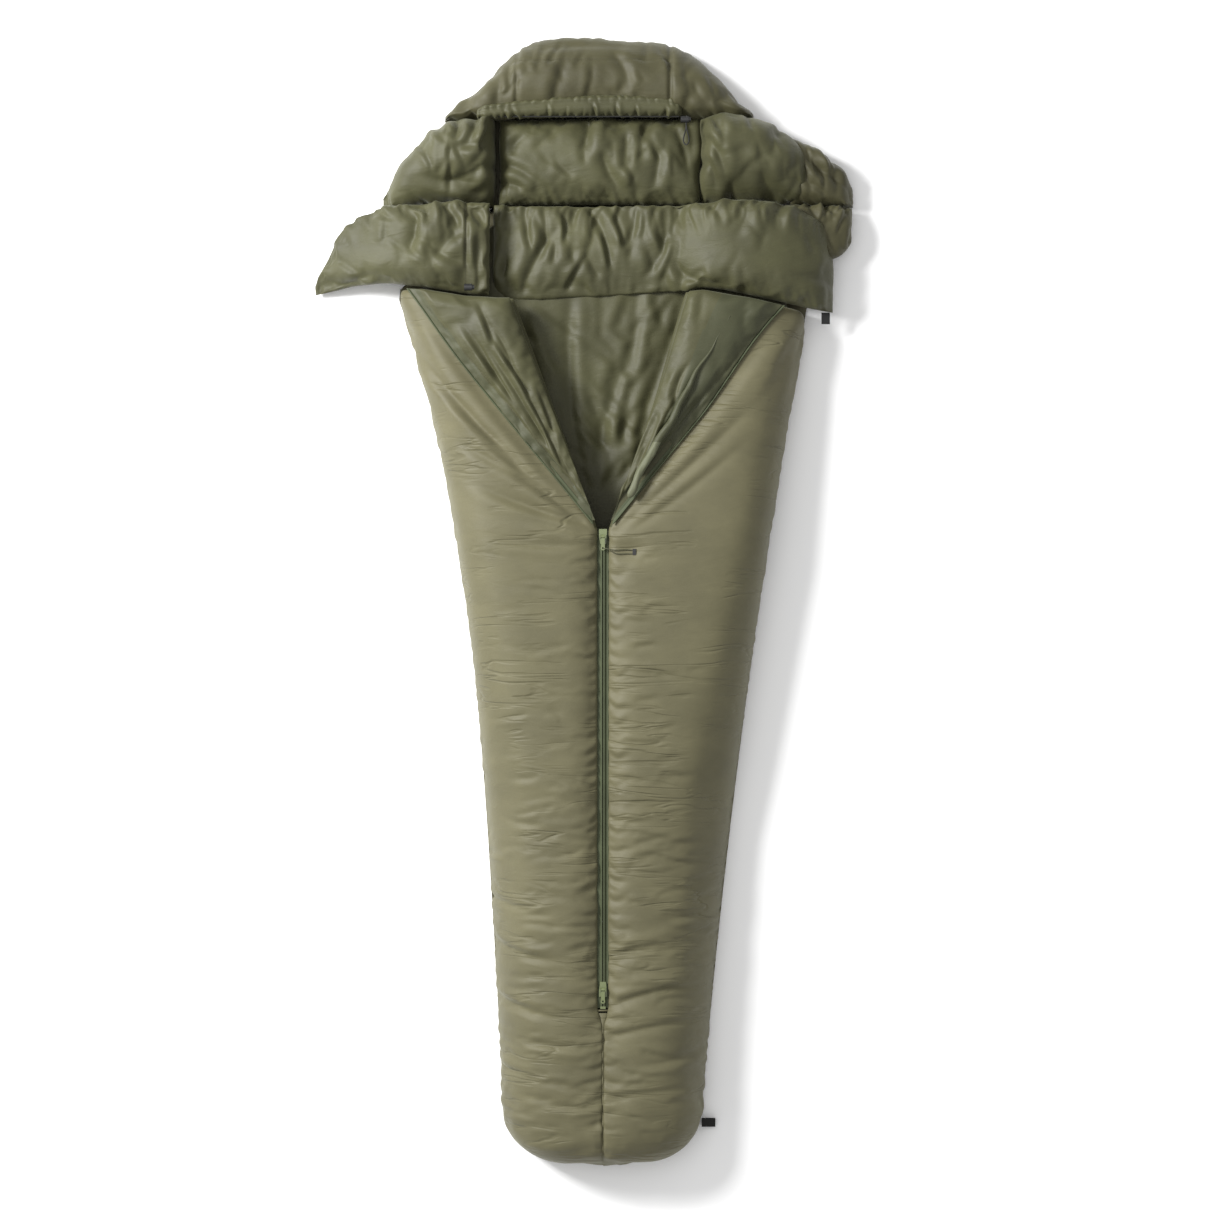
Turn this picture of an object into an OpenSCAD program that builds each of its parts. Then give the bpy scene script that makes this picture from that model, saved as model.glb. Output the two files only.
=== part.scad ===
// Padded mummy-shaped bivy sack, laid on its back with the zip half open.
// Millimetres. +X to the right, +Y towards the head, +Z up, underside at Z = 0,
// and the zip lies on X = 0.

/* [Body] */
// Distance from the origin to the end of the foot
foot_length = 1074; // [1040:1:1110]
// Distance from the origin to the shoulders
shoulder_y = 594; // [580:1:610]
// Half of the width just above the foot
foot_half = 195; // [180:1:210]
// Half of the width at the shoulders
shoulder_half = 400; // [385:1:415]
// Height of the sack over the closed zip
loft = 135; // [132:0.5:138]
// Thickness of the front quilt
front_thick = 34; // [30:1:36]
// Height of the back quilt
back_top = 43; // [40:0.5:44]

/* [Zip] */
// Where the open part of the zip starts
zip_apex = 138; // [130:1:146]
// Where the zip ends at the foot
zip_foot = -765; // [-775:1:-755]
// Half of the gap between the two front quilts, which the zip fills
zip_half = 12; // [12:0.5:14]
// Height of the middle of the zip coils
coil_z = 122.5; // [121:0.5:123]

/* [Opening] */
// Sideways run of each fold line for every millimetre along the sack
fold_run = 0.376; // [0.36:0.002:0.39]
// Sideways run of each open zip edge for every millimetre along the sack
edge_run = 0.82; // [0.8:0.01:0.84]
// Thickness of the turned-back flaps at the neck
flap_thick = 26; // [20:1:28]

/* [Hood] */
// Distance from the origin to the crease that the hood folds on
hood_crease = 755; // [752:1:758]
// Height of the puffed side panels of the hood
side_loft = 112; // [90:1:115]
// Height of the brim
brim_loft = 98; // [85:1:105]

/* [Hidden] */

SHELL = [0.42, 0.40, 0.25];
LINING = [0.36, 0.37, 0.23];
FILL = [0.88, 0.87, 0.82];
TAPE = [0.30, 0.36, 0.20];
METAL = [0.48, 0.54, 0.30];
BLACK = [0.05, 0.05, 0.05];
STEEL = [0.70, 0.70, 0.72];

skin = 2;              // thickness of each fabric skin, with its seams
gap = 0.4;             // air between a skin and the fill behind it
base_z = 2.6;          // where the front quilt meets the back shell
straight_y = -940;     // where the rounded foot turns into the long sides
cut_y = -1000;         // where the foot box meets the front quilts
round_depth = foot_length + straight_y;
neck_half = 215;       // half of the back's width at the hood's crease
left_end = 578;        // end of the left front quilt
right_end = 544;       // end of the right front quilt
arc_steps = 6;         // facets across each quilt
$left = false;         // which half of the sack the outline functions describe

// --- outline and profile of the sack ---------------------------------------

function lerp(a, b, t) = a + (b - a) * t;
function clamp01(t) = min(1, max(0, t));

// Half width of the sack at y. The left side ($left) is hollowed more than the right.
function half_width(y) =
  y < straight_y
    ? let (u = min(0.985, (straight_y - y) / round_depth))
      foot_half * pow(1 - pow(u, 2.6), 1 / 2.6)
    : let (s = (y - straight_y) / (shoulder_y - straight_y))
      lerp(foot_half, shoulder_half, $left ? 0.42 * s + 0.58 * pow(s, 4) : 0.65 * s + 0.35 * s * s);

// Height of the sack's middle at y.
function height(y) =
  y < cut_y
    ? let (u = min(0.96, (cut_y - y) / (foot_length + cut_y)))
      base_z + (loft - base_z) * pow(1 - pow(u, 2.5), 1 / 2.5)
    : loft - 0.067 * max(0, y - zip_apex);

// How square the cross-section is at y: rounder at the foot, flatter at the chest.
function squareness(y) = 3 + 3 * clamp01((y + 400) / 500);

// A point on the cross-section at y, depth millimetres inside the outer surface.
function dome_point(y, angle, depth) =
  let (e = 2 / squareness(y))
  [(half_width(y) - depth) * pow(sin(angle), e),
   base_z + (height(y) - base_z - depth) * pow(cos(angle), e)];

// The angle at which that cross-section reaches x.
function dome_angle(y, x, depth) =
  asin(pow(x / (half_width(y) - depth), squareness(y) / 2));

// Height of the outer surface over x.
function dome_z(y, x) = dome_point(y, dome_angle(y, x, 0), 0)[1];

// Inner edge of a front quilt: the foot seam, the zip, then the fold line.
function inner_x(y) =
  y < zip_foot - 6 ? 0.8 : zip_half + fold_run * max(0, y - zip_apex);
// Open edge of the zip.
function edge_x(y) = zip_half + edge_run * (y - zip_apex);

// --- general shapes ----------------------------------------------------------

// A closed solid through rings that all have the same number of points.
module loft_rings(rings) {
  n = len(rings[0]);
  last = len(rings) - 1;
  polyhedron(
    points = [for (ring = rings) for (p = ring) p],
    faces = concat(
      [[for (j = [0:n - 1]) j]],
      [for (i = [0:last - 1]) for (j = [0:n - 1])
        [i * n + j, (i + 1) * n + j, i * n + (j + 1) % n]],
      [for (i = [0:last - 1]) for (j = [0:n - 1])
        [i * n + (j + 1) % n, (i + 1) * n + j, (i + 1) * n + (j + 1) % n]],
      [[for (j = [n - 1:-1:0]) last * n + j]]
    )
  );
}

function unit(v) = v / norm(v);

// A round tube swept along a route of points.
module sweep(route, radius, sides) {
  last = len(route) - 1;
  tangent = [for (i = [0:last]) unit(route[min(last, i + 1)] - route[max(0, i - 1)])];
  loft_rings([for (i = [0:last])
    let (t = tangent[i],
         side = unit(cross(t, abs(t[2]) > 0.8 ? [1, 0, 0] : [0, 0, 1])),
         up = cross(side, t))
    [for (k = [0:sides - 1])
      route[i] + radius * (cos(360 * k / sides) * side + sin(360 * k / sides) * up)]
  ]);
}

// A box between two corners.
module span(low, high) {
  translate(low) cube(high - low);
}

// --- quilts ------------------------------------------------------------------

FOOT_STATIONS = [cut_y, -970, straight_y, zip_foot - 7, zip_foot - 5, -560, -340, -120, 60, zip_apex];

// A block of the right-hand front quilt between two depths below its surface. It runs
// from `start` to `stop` of the way round from the zip to the side seam, and its inner
// edge is no nearer than `seam` to the middle.
module front_block(outer, inner, stations, start = 0, stop = 1, seam = 0, steps = arc_steps) {
  loft_rings([for (y = stations)
    let (x = max(seam, inner_x(y)), a0 = dome_angle(y, x, outer), a1 = dome_angle(y, x, inner))
    concat(
      [for (k = [0:steps])
        let (t = lerp(start, stop, k / steps), p = dome_point(y, lerp(a0, 90, t), outer))
        [p[0], y, p[1]]],
      [for (k = [steps:-1:0])
        let (t = lerp(start, stop, k / steps), p = dome_point(y, lerp(a1, 90, t), inner))
        [p[0], y, p[1]]]
    )
  ]);
}

module front_skin(outer, inner, end_y) {
  front_block(outer, inner,
              concat(FOOT_STATIONS, [for (t = [0.25:0.25:1]) lerp(zip_apex, end_y, t)]));
}

// Runs of stations for the chambers of fill, half a millimetre short of each stitched line.
function chamber_runs(end_y) =
  let (mid = lerp(zip_apex, end_y, 0.5))
  [[cut_y, -970, straight_y, -780], [-779, -560.5], [-559.5, -340.5], [-339.5, -120.5],
   [-119.5, 60, zip_apex - 0.5], [zip_apex + 0.5, lerp(zip_apex, end_y, 0.25), mid - 0.5],
   [mid + 0.5, lerp(zip_apex, end_y, 0.75), end_y]];

module front_shell(end_y) {
  color(SHELL) front_skin(0, skin, end_y);
}

// Fill in stitched chambers, three round the quilt and seven along it.
module front_fill(end_y) {
  air = skin + 3 * gap;
  color(FILL) for (run = chamber_runs(end_y), k = [0:2])
    front_block(air, front_thick - air, run, k / 3 + (k > 0 ? 0.003 : 0),
                (k + 1) / 3 - (k < 2 ? 0.003 : 0), zip_half, 2);
}

module front_lining(end_y) {
  color(LINING) front_skin(front_thick - skin, front_thick, end_y);
}

// Draws its children as the left half of the sack.
module left_half() {
  mirror([1, 0, 0]) let ($left = true) children();
}

module front_left_shell() { left_half() front_shell(left_end); }
module front_left_fill() { left_half() front_fill(left_end); }
module front_left_lining() { left_half() front_lining(left_end); }
module front_right_shell() { front_shell(right_end); }
module front_right_fill() { front_fill(right_end); }
module front_right_lining() { front_lining(right_end); }

// Padded end of the sack, one half on each side of the centre seam.
module foot_box() {
  depth = foot_length + cut_y;
  color(SHELL) loft_rings([for (t = [0.985, 0.9, 0.75, 0.5, 0.25, 0])
    let (y = cut_y - gap - t * (depth - gap))
    concat(
      [[0.4, y, base_z]],
      [for (k = [0:arc_steps])
        let (a = lerp(dome_angle(y, 0.4, 0), 90, k / arc_steps), p = dome_point(y, a, 0))
        [p[0], y, p[1]]]
    )
  ]);
}

module foot_box_right() { foot_box(); }
module foot_box_left() { left_half() foot_box(); }

// Right-hand side of the back's outline, from the foot to the hood's crease.
function back_side(inset) =
  let (foot_y = 2 + inset - foot_length, steps = 8)
  concat(
    [for (k = [0:steps])
      let (y = lerp(foot_y, straight_y, 1 - pow(1 - k / steps, 2)))
      [half_width(y - inset * (straight_y - y) / round_depth) - inset, y]],
    [for (y = [straight_y + 200:200:shoulder_y - 100]) [half_width(y) - inset, y]],
    [[shoulder_half - inset, shoulder_y],
     [neck_half - inset / 2, hood_crease - gap]]
  );

module back_outline(inset) {
  right = back_side(inset);
  left = let ($left = true) back_side(inset);
  polygon(concat(right, [for (i = [len(left) - 1:-1:0]) [-left[i][0], left[i][1]]]));
}

module back_shell() {
  color(SHELL) linear_extrude(skin) back_outline(1);
}

module back_fill() {
  color(FILL) translate([0, 0, skin + gap])
    linear_extrude(back_top - 2 * (skin + gap))
      intersection() {
        back_outline(front_thick + 9);
        translate([-500, cut_y + 1]) square([1000, 2000]);
      }
}

module back_lining() {
  color(LINING) translate([0, 0, back_top - skin])
    linear_extrude(skin)
      intersection() {
        back_outline(front_thick + 10);
        translate([-500, cut_y + 1]) square([1000, 2000]);
      }
}

// Soft band across the neck, crowned along its length.
module neck_baffle() {
  ends = [-206, 182];
  low = 577;
  high = 742;
  bottom = back_top + gap;
  color(LINING) loft_rings([for (t = [0:0.25:1])
    let (x = lerp(ends[0], ends[1], t), top = bottom + 16 + 12 * sin(180 * t))
    [[x, low, bottom + 5], [x, low + 25, top], [x, high - 25, top], [x, high, bottom + 5],
     [x, high - 10, bottom], [x, low + 10, bottom]]
  ]);
}

// --- zip ---------------------------------------------------------------------

tape_z = coil_z - 2.5;
slot = 1.3;            // half of the slot between the coils
coil_r = 1.5;

module zip_tape_left() {
  color(TAPE) span([-zip_half + 0.3, zip_foot, tape_z], [-slot, zip_apex, tape_z + 0.8]);
}

module zip_tape_right() { mirror([1, 0, 0]) zip_tape_left(); }

module zip_coil_left() {
  color(TAPE) translate([-slot - coil_r, zip_foot + 6, coil_z])
    rotate([-90, 0, 0]) cylinder(r = coil_r, h = zip_apex - zip_foot - 6, $fn = 32);
}

module zip_coil_right() { mirror([1, 0, 0]) zip_coil_left(); }

module zip_bottom_stop() {
  color(METAL) span([-5, zip_foot + 1, tape_z + 0.8], [5, zip_foot + 5.6, coil_z + 2]);
}

// Fabric cover sewn over the end of the zip.
module zip_garage() {
  color(SHELL) span([-zip_half + 0.4, zip_foot - 4, tape_z - 1], [zip_half - 0.4, zip_foot - 0.3, coil_z + 4]);
}

// Padded strip behind the zip.
module zip_draft_flap() {
  top = loft - front_thick - 2;
  color(LINING) span([-30, zip_foot - 10, top - 8], [26, zip_apex - 4, top]);
}

slider_half = 7.5;
slider_length = 28;
pin_z = coil_z + 8.5;  // axis that a pull tab turns on
pin_r = 1.2;

// A slider with its mouth towards +Y: two plates joined by a blade, and a bridge.
module slider() {
  top_z = coil_z + 2;
  color(METAL) {
    difference() {
      union() {
        translate([0, 0, top_z]) linear_extrude(2) slider_outline();
        translate([0, 0, tape_z - 3]) linear_extrude(2.4) slider_outline();
      }
      translate([0, -slider_length, tape_z - 4]) cylinder(r = 1.8, h = 12, $fn = 32);
    }
    span([-0.6, 4, tape_z - 0.7], [0.6, slider_length / 2 - 2, top_z + 0.1]);
    for (side = [-1, 1])
      translate([side * 5.2, 0, 0]) {
        span([-0.8, -3.5, top_z + 1.9], [0.8, 3.5, pin_z + 2.4]);
      }
    translate([-5.2, 0, pin_z]) rotate([0, 90, 0]) cylinder(r = pin_r, h = 10.4, $fn = 48);
  }
}

module slider_outline() {
  polygon([[-5.4, -slider_length / 2], [5.4, -slider_length / 2],
           [slider_half, 2], [slider_half, slider_length / 2],
           [-slider_half, slider_length / 2], [-slider_half, 2]]);
}

tab_length = 26;

// A pull tab that hangs on a slider's bridge and points towards -Y.
module pull_tab() {
  color(METAL) difference() {
    union() {
      translate([-3.6, 0, pin_z]) rotate([0, 90, 0]) cylinder(r = 3, h = 7.2, $fn = 48);
      span([-3.6, -tab_length + 4, pin_z - 0.9], [3.6, 0, pin_z + 0.9]);
      translate([0, -tab_length + 4, pin_z - 0.9]) cylinder(r = 4.2, h = 1.8, $fn = 48);
    }
    translate([-5, 0, pin_z]) rotate([0, 90, 0]) cylinder(r = pin_r + 0.08, h = 10, $fn = 48);
    translate([0, -tab_length + 4, pin_z - 2]) cylinder(r = 1.8, h = 4, $fn = 48);
  }
}

upper_y = zip_apex - slider_length / 2;
lower_y = -727;

module upper_slider() { translate([0, upper_y, 0]) slider(); }
module upper_pull_tab() { translate([0, upper_y, 0]) pull_tab(); }
module lower_slider() { translate([0, lower_y, 0]) mirror([0, 1, 0]) slider(); }
module lower_pull_tab() { translate([0, lower_y, 0]) pull_tab(); }

// Pull cord of the upper slider: out of the tab, through a knot and round in a long
// narrow loop that lies on the right front quilt.
PULL_ROUTE = [
  [2, 101, 133.4], [6, 101, 136], [11, 100, 138.6], [17, 98.6, 138.8], [25, 98, 138.6],
  [33, 98.6, 138.4], [41, 99, 138.2], [49, 98.6, 137.9], [55, 98.2, 137.7], [58.6, 96.6, 137.6],
  [59.4, 94, 137.6], [58.2, 91.8, 137.6], [55, 91, 137.7], [49, 91.2, 137.9], [41, 91.4, 138.2],
  [33, 91, 138.4], [25, 91.6, 138.6], [18, 94.2, 138.8], [13, 97, 139.6]
];
pull_cord_r = 0.8;

module upper_pull_cord() {
  color(TAPE) sweep(PULL_ROUTE, pull_cord_r, 8);
}

// Moulded end that the loop is threaded through, open towards the cord.
module upper_cord_end() {
  color(BLACK) difference() {
    span([55.5, 89, 136.2], [62, 100.4, 139.4]);
    span([54, 90, 136.7], [61, 99.4, 138.9]);
  }
}

// --- turned-back flaps of the opening ----------------------------------------

flap_start = 190;      // where the padding of a flap starts
tape_width = 10;
flap_crown = 3;        // how far the middle of a flap arches up

function flap_height(y, end_y) =
  lerp(8, flap_thick, clamp01((y - flap_start) / (end_y - flap_start)));

// One layer of the right-hand flap, between two fractions of its thickness and
// thinned by `air` on both faces.
module flap_layer(low, high, air, end_y) {
  across = 8;
  loft_rings([for (t = [0:1 / 12:1.001])
    let (y = lerp(flap_start, end_y, t), x0 = inner_x(y) + 0.4, x1 = edge_x(y) - tape_width,
         tall = flap_height(y, end_y))
    concat(
      [for (k = [0:across])
        let (x = lerp(x0, x1, k / across), crown = flap_crown * sin(180 * k / across))
        [x, y, dome_z(y, x) + 1.4 + crown + tall * high - air]],
      [for (k = [across:-1:0])
        let (x = lerp(x0, x1, k / across), crown = flap_crown * sin(180 * k / across))
        [x, y, dome_z(y, x) + 1.4 + crown + tall * low + air]]
    )
  ]);
}

module flap_shell(end_y) { color(SHELL) flap_layer(0, 0.14, 0, end_y); }
module flap_fill(end_y) { color(FILL) flap_layer(0.14, 0.86, 0.9, end_y); }
module flap_lining(end_y) { color(LINING) flap_layer(0.86, 1, 0, end_y); }

// Zip tape along the open edge, lying on the quilt below it.
module flap_tape(end_y) {
  color(TAPE) loft_rings([for (t = [0:1 / 6:1.001])
    let (y = lerp(zip_apex + 14, end_y, t), x1 = edge_x(y) - 3.4,
         x0 = max(inner_x(y) + 0.6, x1 - tape_width + 3.8))
    [[x0, y, dome_z(y, x0) + 3.4], [x1, y, dome_z(y, x1) + 3.4],
     [x1, y, dome_z(y, x1) + 2.4], [x0, y, dome_z(y, x0) + 2.4]]
  ]);
}

// Zip coil along the open edge.
module flap_coil(end_y) {
  color(TAPE) sweep([for (t = [0:1 / 6:1.001])
    let (y = lerp(zip_apex + 15, end_y - 1, t), x = edge_x(y) - 0.8)
    [x, y, dome_z(y, x) + 3.4]], 1.4, 8);
}

module flap_left_shell() { left_half() flap_shell(left_end); }
module flap_left_fill() { left_half() flap_fill(left_end); }
module flap_left_lining() { left_half() flap_lining(left_end); }
module flap_left_tape() { left_half() flap_tape(left_end); }
module flap_left_coil() { left_half() flap_coil(left_end); }
module flap_right_shell() { flap_shell(right_end); }
module flap_right_fill() { flap_fill(right_end); }
module flap_right_lining() { flap_lining(right_end); }
module flap_right_tape() { flap_tape(right_end); }
module flap_right_coil() { flap_coil(right_end); }

// Stuffed tube beside the right-hand zip edge.
module draft_tube() {
  color(LINING) sweep([for (t = [0:0.2:1])
    let (y = lerp(flap_start + 14, right_end - 8, t), x = lerp(inner_x(y), edge_x(y), 0.5))
    [x, y, dome_z(y, x) + 1.8 + flap_crown + flap_height(y, right_end) + 7.4]], 7, 10);
}

// --- neck wings ----------------------------------------------------------------

// A ring of a wing at x: a flattened hexagon between two y and two z.
function wing_ring(x, low, high, bottom, top) =
  let (edge = min(18, (high - low) / 4), mid = (bottom + top) / 2)
  [[x, low, mid], [x, low + edge, top], [x, high - edge, top],
   [x, high, mid], [x, high - edge, bottom], [x, low + edge, bottom]];

module wing_left_pad() {
  color(LINING) loft_rings([
    wing_ring(-551, 592, 602, 6, 14),
    wing_ring(-500, 590, 725, 14, 44),
    wing_ring(-470, 590, 744, 24, 66),
    wing_ring(-395, 590, 749, 50, 98),
    wing_ring(-300, 589, 747, 62, 118),
    wing_ring(-217, 588, 740, 72, 122)
  ]);
}

module wing_right_pad() {
  color(LINING) loft_rings([
    wing_ring(191, 596, 751, 72, 122),
    wing_ring(280, 578, 751, 62, 120),
    wing_ring(360, 562, 751, 50, 106),
    wing_ring(430, 552, 750, 26, 72),
    wing_ring(470, 655, 746, 12, 44)
  ]);
}

// Short webbing tab with a hook-and-loop face, under the right wing's corner.
module neck_tab() {
  color(BLACK) span([416, 530, 46], [432, 552, 47.6]);
}

// Webbing loop at the foot's right side seam.
loop_x = 189;
loop_y = -996;

module hang_loop() {
  color(BLACK) translate([loop_x, loop_y + 7.5, 3]) rotate([90, 0, 0])
    linear_extrude(15) difference() {
      square([26, 13]);
      translate([1.6, 1.6]) square([22.8, 9.8]);
    }
}

// --- hood ------------------------------------------------------------------------

HOOD_OUTLINE = [
  [-424, hood_crease + 1], [-386, 841], [-310, 917], [-234, 974], [-167, 1050], [-140, 1066],
  [-6, 1074], [140, 1068], [184, 1031], [270, 939], [355, 888], [431, 850], [481, 787],
  [470, hood_crease + 1]
];

module hood_back_shell() {
  color(SHELL) linear_extrude(skin) polygon(HOOD_OUTLINE);
}

module hood_back_fill() {
  color(FILL) span([-206, hood_crease + 1, skin + gap], [182, 918, back_top - skin - gap]);
}

module hood_back_lining() {
  color(LINING) span([-206, hood_crease + 1, back_top - skin], [182, 918, back_top]);
}

// A ring of a hood side panel. Its face towards the foot leans back at 45 degrees
// above the crease, so that it stands upright when the hood is raised.
function side_ring(x, high, top) =
  let (low = hood_crease + 2, lean = max(4, top - back_top - 2))
  [[x, low, skin + gap], [x, low, min(back_top + 2, top - 1)], [x, low + lean, top],
   [x, max(high - 14, low + lean + 1), top], [x, max(high, low + lean + 2), top * 0.6],
   [x, max(high, low + lean + 2), skin + gap]];

module hood_side_left() {
  color(LINING) loft_rings([
    side_ring(-416, 775, 22),
    side_ring(-380, 838, 72),
    side_ring(-300, 912, side_loft - 4),
    side_ring(-208, 922, side_loft)
  ]);
}

module hood_side_right() {
  color(LINING) loft_rings([
    side_ring(184, 922, side_loft),
    side_ring(280, 915, side_loft),
    side_ring(367, 872, side_loft - 20),
    side_ring(430, 842, 60),
    side_ring(472, 786, 26)
  ]);
}

// A ring of the brim at x, between the mouth of the hood and its top edge.
function brim_ring(x, low, high, top) =
  [[x, low, skin + gap], [x, low, top * 0.8], [x, lerp(low, high, 0.2), top],
   [x, lerp(low, high, 0.6), top * 0.95], [x, lerp(low, high, 0.9), top * 0.6],
   [x, high, top * 0.25], [x, high, skin + gap]];

module brim_centre() {
  color(SHELL) loft_rings([for (t = [0:0.25:1])
    brim_ring(lerp(-162.7, 126.7, t), 926, 1062 + 10 * sin(180 * t), brim_loft)]);
}

module brim_left() {
  color(SHELL) loft_rings([
    brim_ring(-300, 918, 923, 60),
    brim_ring(-234, 926, 972, brim_loft - 12),
    brim_ring(-163.3, 926, 1052, brim_loft)
  ]);
}

module brim_right() {
  color(SHELL) loft_rings([
    brim_ring(127.3, 926, 1062, brim_loft),
    brim_ring(182, 926, 1029, brim_loft - 4),
    brim_ring(262, 926, 944, brim_loft - 14),
    brim_ring(284, 924, 929, 60)
  ]);
}

channel_y = 919.5;
channel_z = 84;
drawcord_r = 1.3;

module drawcord_channel() {
  color(TAPE) translate([-205, channel_y, channel_z]) rotate([0, 90, 0])
    difference() {
      cylinder(r = 5.6, h = 338, $fn = 32);
      translate([0, 0, -1]) cylinder(r = 3.2, h = 340, $fn = 32);
    }
}

module hood_drawcord() {
  color(BLACK) translate([-200, channel_y, channel_z]) rotate([0, 90, 0])
    cylinder(r = drawcord_r, h = 344, $fn = 32);
}

// --- cord locks --------------------------------------------------------------------

barrel_r = 6.5;
bore_r = 4.6;
plunger_travel = 3;

// Barrel of a cord lock along X, with a blind bore at its +X end and two cord holes.
module lock_barrel() {
  color(BLACK) difference() {
    translate([-7.5, 0, 0]) rotate([0, 90, 0]) cylinder(r = barrel_r, h = 15, $fn = 48);
    translate([-4.5, 0, 0]) rotate([0, 90, 0]) cylinder(r = bore_r, h = 13, $fn = 48);
    for (side = [-1, 1])
      translate([3, 8, side * 1.9]) rotate([90, 0, 0]) cylinder(r = 1.6, h = 16, $fn = 32);
  }
}

module lock_plunger() {
  color(BLACK) difference() {
    translate([-0.5, 0, 0]) rotate([0, 90, 0]) cylinder(r = bore_r - 0.08, h = 12, $fn = 48);
    span([1.2, -6, -3.6], [4.8 + plunger_travel, 6, 3.6]);
  }
}

module lock_spring() {
  color(STEEL) for (k = [0:2])
    translate([-4 + 1.5 * k, 0, 0]) rotate([0, 90, 0])
      rotate_extrude($fn = 32) translate([3, 0]) circle(r = 0.35, $fn = 16);
}

NECK_LOCK = [-253, 592, 129.6];
HOOD_LOCK = [154, 911, 105];

module neck_lock_barrel() { translate(NECK_LOCK) lock_barrel(); }
module neck_lock_spring() { translate(NECK_LOCK) lock_spring(); }
module neck_lock_plunger() { translate(NECK_LOCK) lock_plunger(); }
module hood_lock_barrel() { translate(HOOD_LOCK) lock_barrel(); }
module hood_lock_spring() { translate(HOOD_LOCK) lock_spring(); }
module hood_lock_plunger() { translate(HOOD_LOCK) lock_plunger(); }

// Loop of the drawcord below the hood's cord lock, out of one hole and back into the other.
LOOP_ROUTE = [
  [157, 904.4, 106.9], [157, 899, 108], [158, 892, 109], [160, 884, 109], [162, 876, 108],
  [162, 869, 106.5], [159, 864, 105], [155, 864, 103.5], [152, 869, 102.5], [152, 876, 102],
  [154, 884, 101.5], [156, 892, 101.5], [157, 899, 102], [157, 904.4, 103.1]
];

module hood_cord_loop() {
  color(BLACK) sweep(LOOP_ROUTE, drawcord_r, 8);
}

// --- sub-parts ---------------------------------------------------------------------

back_shell();
back_fill();
back_lining();
front_left_shell();
front_left_fill();
front_left_lining();
front_right_shell();
front_right_fill();
front_right_lining();
foot_box_left();
foot_box_right();
zip_draft_flap();
zip_tape_left();
zip_tape_right();
zip_coil_left();
zip_coil_right();
zip_bottom_stop();
zip_garage();
neck_baffle();
hang_loop();
upper_slider();
upper_pull_tab();
upper_pull_cord();
upper_cord_end();
lower_slider();
lower_pull_tab();
flap_left_shell();
flap_left_fill();
flap_left_lining();
flap_left_tape();
flap_left_coil();
flap_right_shell();
flap_right_fill();
flap_right_lining();
flap_right_tape();
flap_right_coil();
draft_tube();
wing_left_pad();
neck_lock_barrel();
neck_lock_spring();
neck_lock_plunger();
wing_right_pad();
neck_tab();
hood_back_shell();
hood_back_fill();
hood_back_lining();
hood_side_left();
hood_side_right();
brim_centre();
brim_left();
brim_right();
drawcord_channel();
hood_drawcord();
hood_lock_barrel();
hood_lock_spring();
hood_lock_plunger();
hood_cord_loop();
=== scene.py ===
"""Looks of the padded mummy sack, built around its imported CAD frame.

Metres, in the CAD frame: +X to the right, +Y towards the hood, +Z up, zip on X = 0.
"""
import math

import bpy
import numpy as np
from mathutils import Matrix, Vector, noise
from mathutils.bvhtree import BVHTree


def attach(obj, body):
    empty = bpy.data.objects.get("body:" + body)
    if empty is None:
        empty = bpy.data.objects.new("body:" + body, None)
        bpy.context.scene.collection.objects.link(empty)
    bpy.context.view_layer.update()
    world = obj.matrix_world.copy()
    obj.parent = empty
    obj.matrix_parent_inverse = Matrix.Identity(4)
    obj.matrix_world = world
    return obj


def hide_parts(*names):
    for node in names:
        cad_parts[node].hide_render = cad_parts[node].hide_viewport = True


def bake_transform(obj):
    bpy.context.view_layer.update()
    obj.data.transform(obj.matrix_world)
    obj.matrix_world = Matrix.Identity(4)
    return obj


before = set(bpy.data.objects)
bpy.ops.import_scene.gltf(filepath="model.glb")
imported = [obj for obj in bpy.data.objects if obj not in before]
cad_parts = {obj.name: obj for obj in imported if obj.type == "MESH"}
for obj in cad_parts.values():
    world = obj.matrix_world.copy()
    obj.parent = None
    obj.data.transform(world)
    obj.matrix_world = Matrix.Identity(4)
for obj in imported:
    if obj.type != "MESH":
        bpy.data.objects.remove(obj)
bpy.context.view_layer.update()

# --- dimensions that the CAD model also has ---------------------------------------

FOOT_Y = -1.074          # end of the foot
STRAIGHT_Y = -0.940      # where the rounded foot turns into the long sides
CUT_Y = -1.000           # where the height of the foot starts to fall
SHOULDER_Y = 0.594
FOOT_HALF, SHOULDER_HALF = 0.195, 0.400
LOFT = 0.135             # height over the closed zip
THICK = 0.034            # thickness of the front quilt
BASE_Z = 0.0026          # where the front quilt meets the back shell
LINING_Z = 0.043         # top of the back quilt
APEX_Y = 0.138           # where the open part of the zip starts
ZIP_FOOT_Y = -0.765      # where the zip ends at the foot
ZIP_HALF = 0.012         # half of the gap between the front quilts
FOLD_RUN, EDGE_RUN = 0.376, 0.82
CREASE_Y = 0.755         # the crease that the hood folds on
NECK_HALF = 0.215
LEFT_END, RIGHT_END = 0.578, 0.544
FLAP_START, FLAP_THICK = 0.190, 0.026
MM = 0.001


# --- camera -----------------------------------------------------------------------

FRAME_WIDTH = 2.3066     # width of the picture at the sack's middle height
CAMERA_HEIGHT = 6.0
SENSOR = 36.0


def make_camera():
    data = bpy.data.cameras.new("camera")
    data.sensor_width = SENSOR
    data.lens = SENSOR * (CAMERA_HEIGHT - 0.06) / FRAME_WIDTH
    camera = bpy.data.objects.new("camera", data)
    camera.location = (0.0076, -0.0086, CAMERA_HEIGHT)
    bpy.context.scene.collection.objects.link(camera)
    bpy.context.scene.camera = camera


make_camera()


# --- materials --------------------------------------------------------------------

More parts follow.
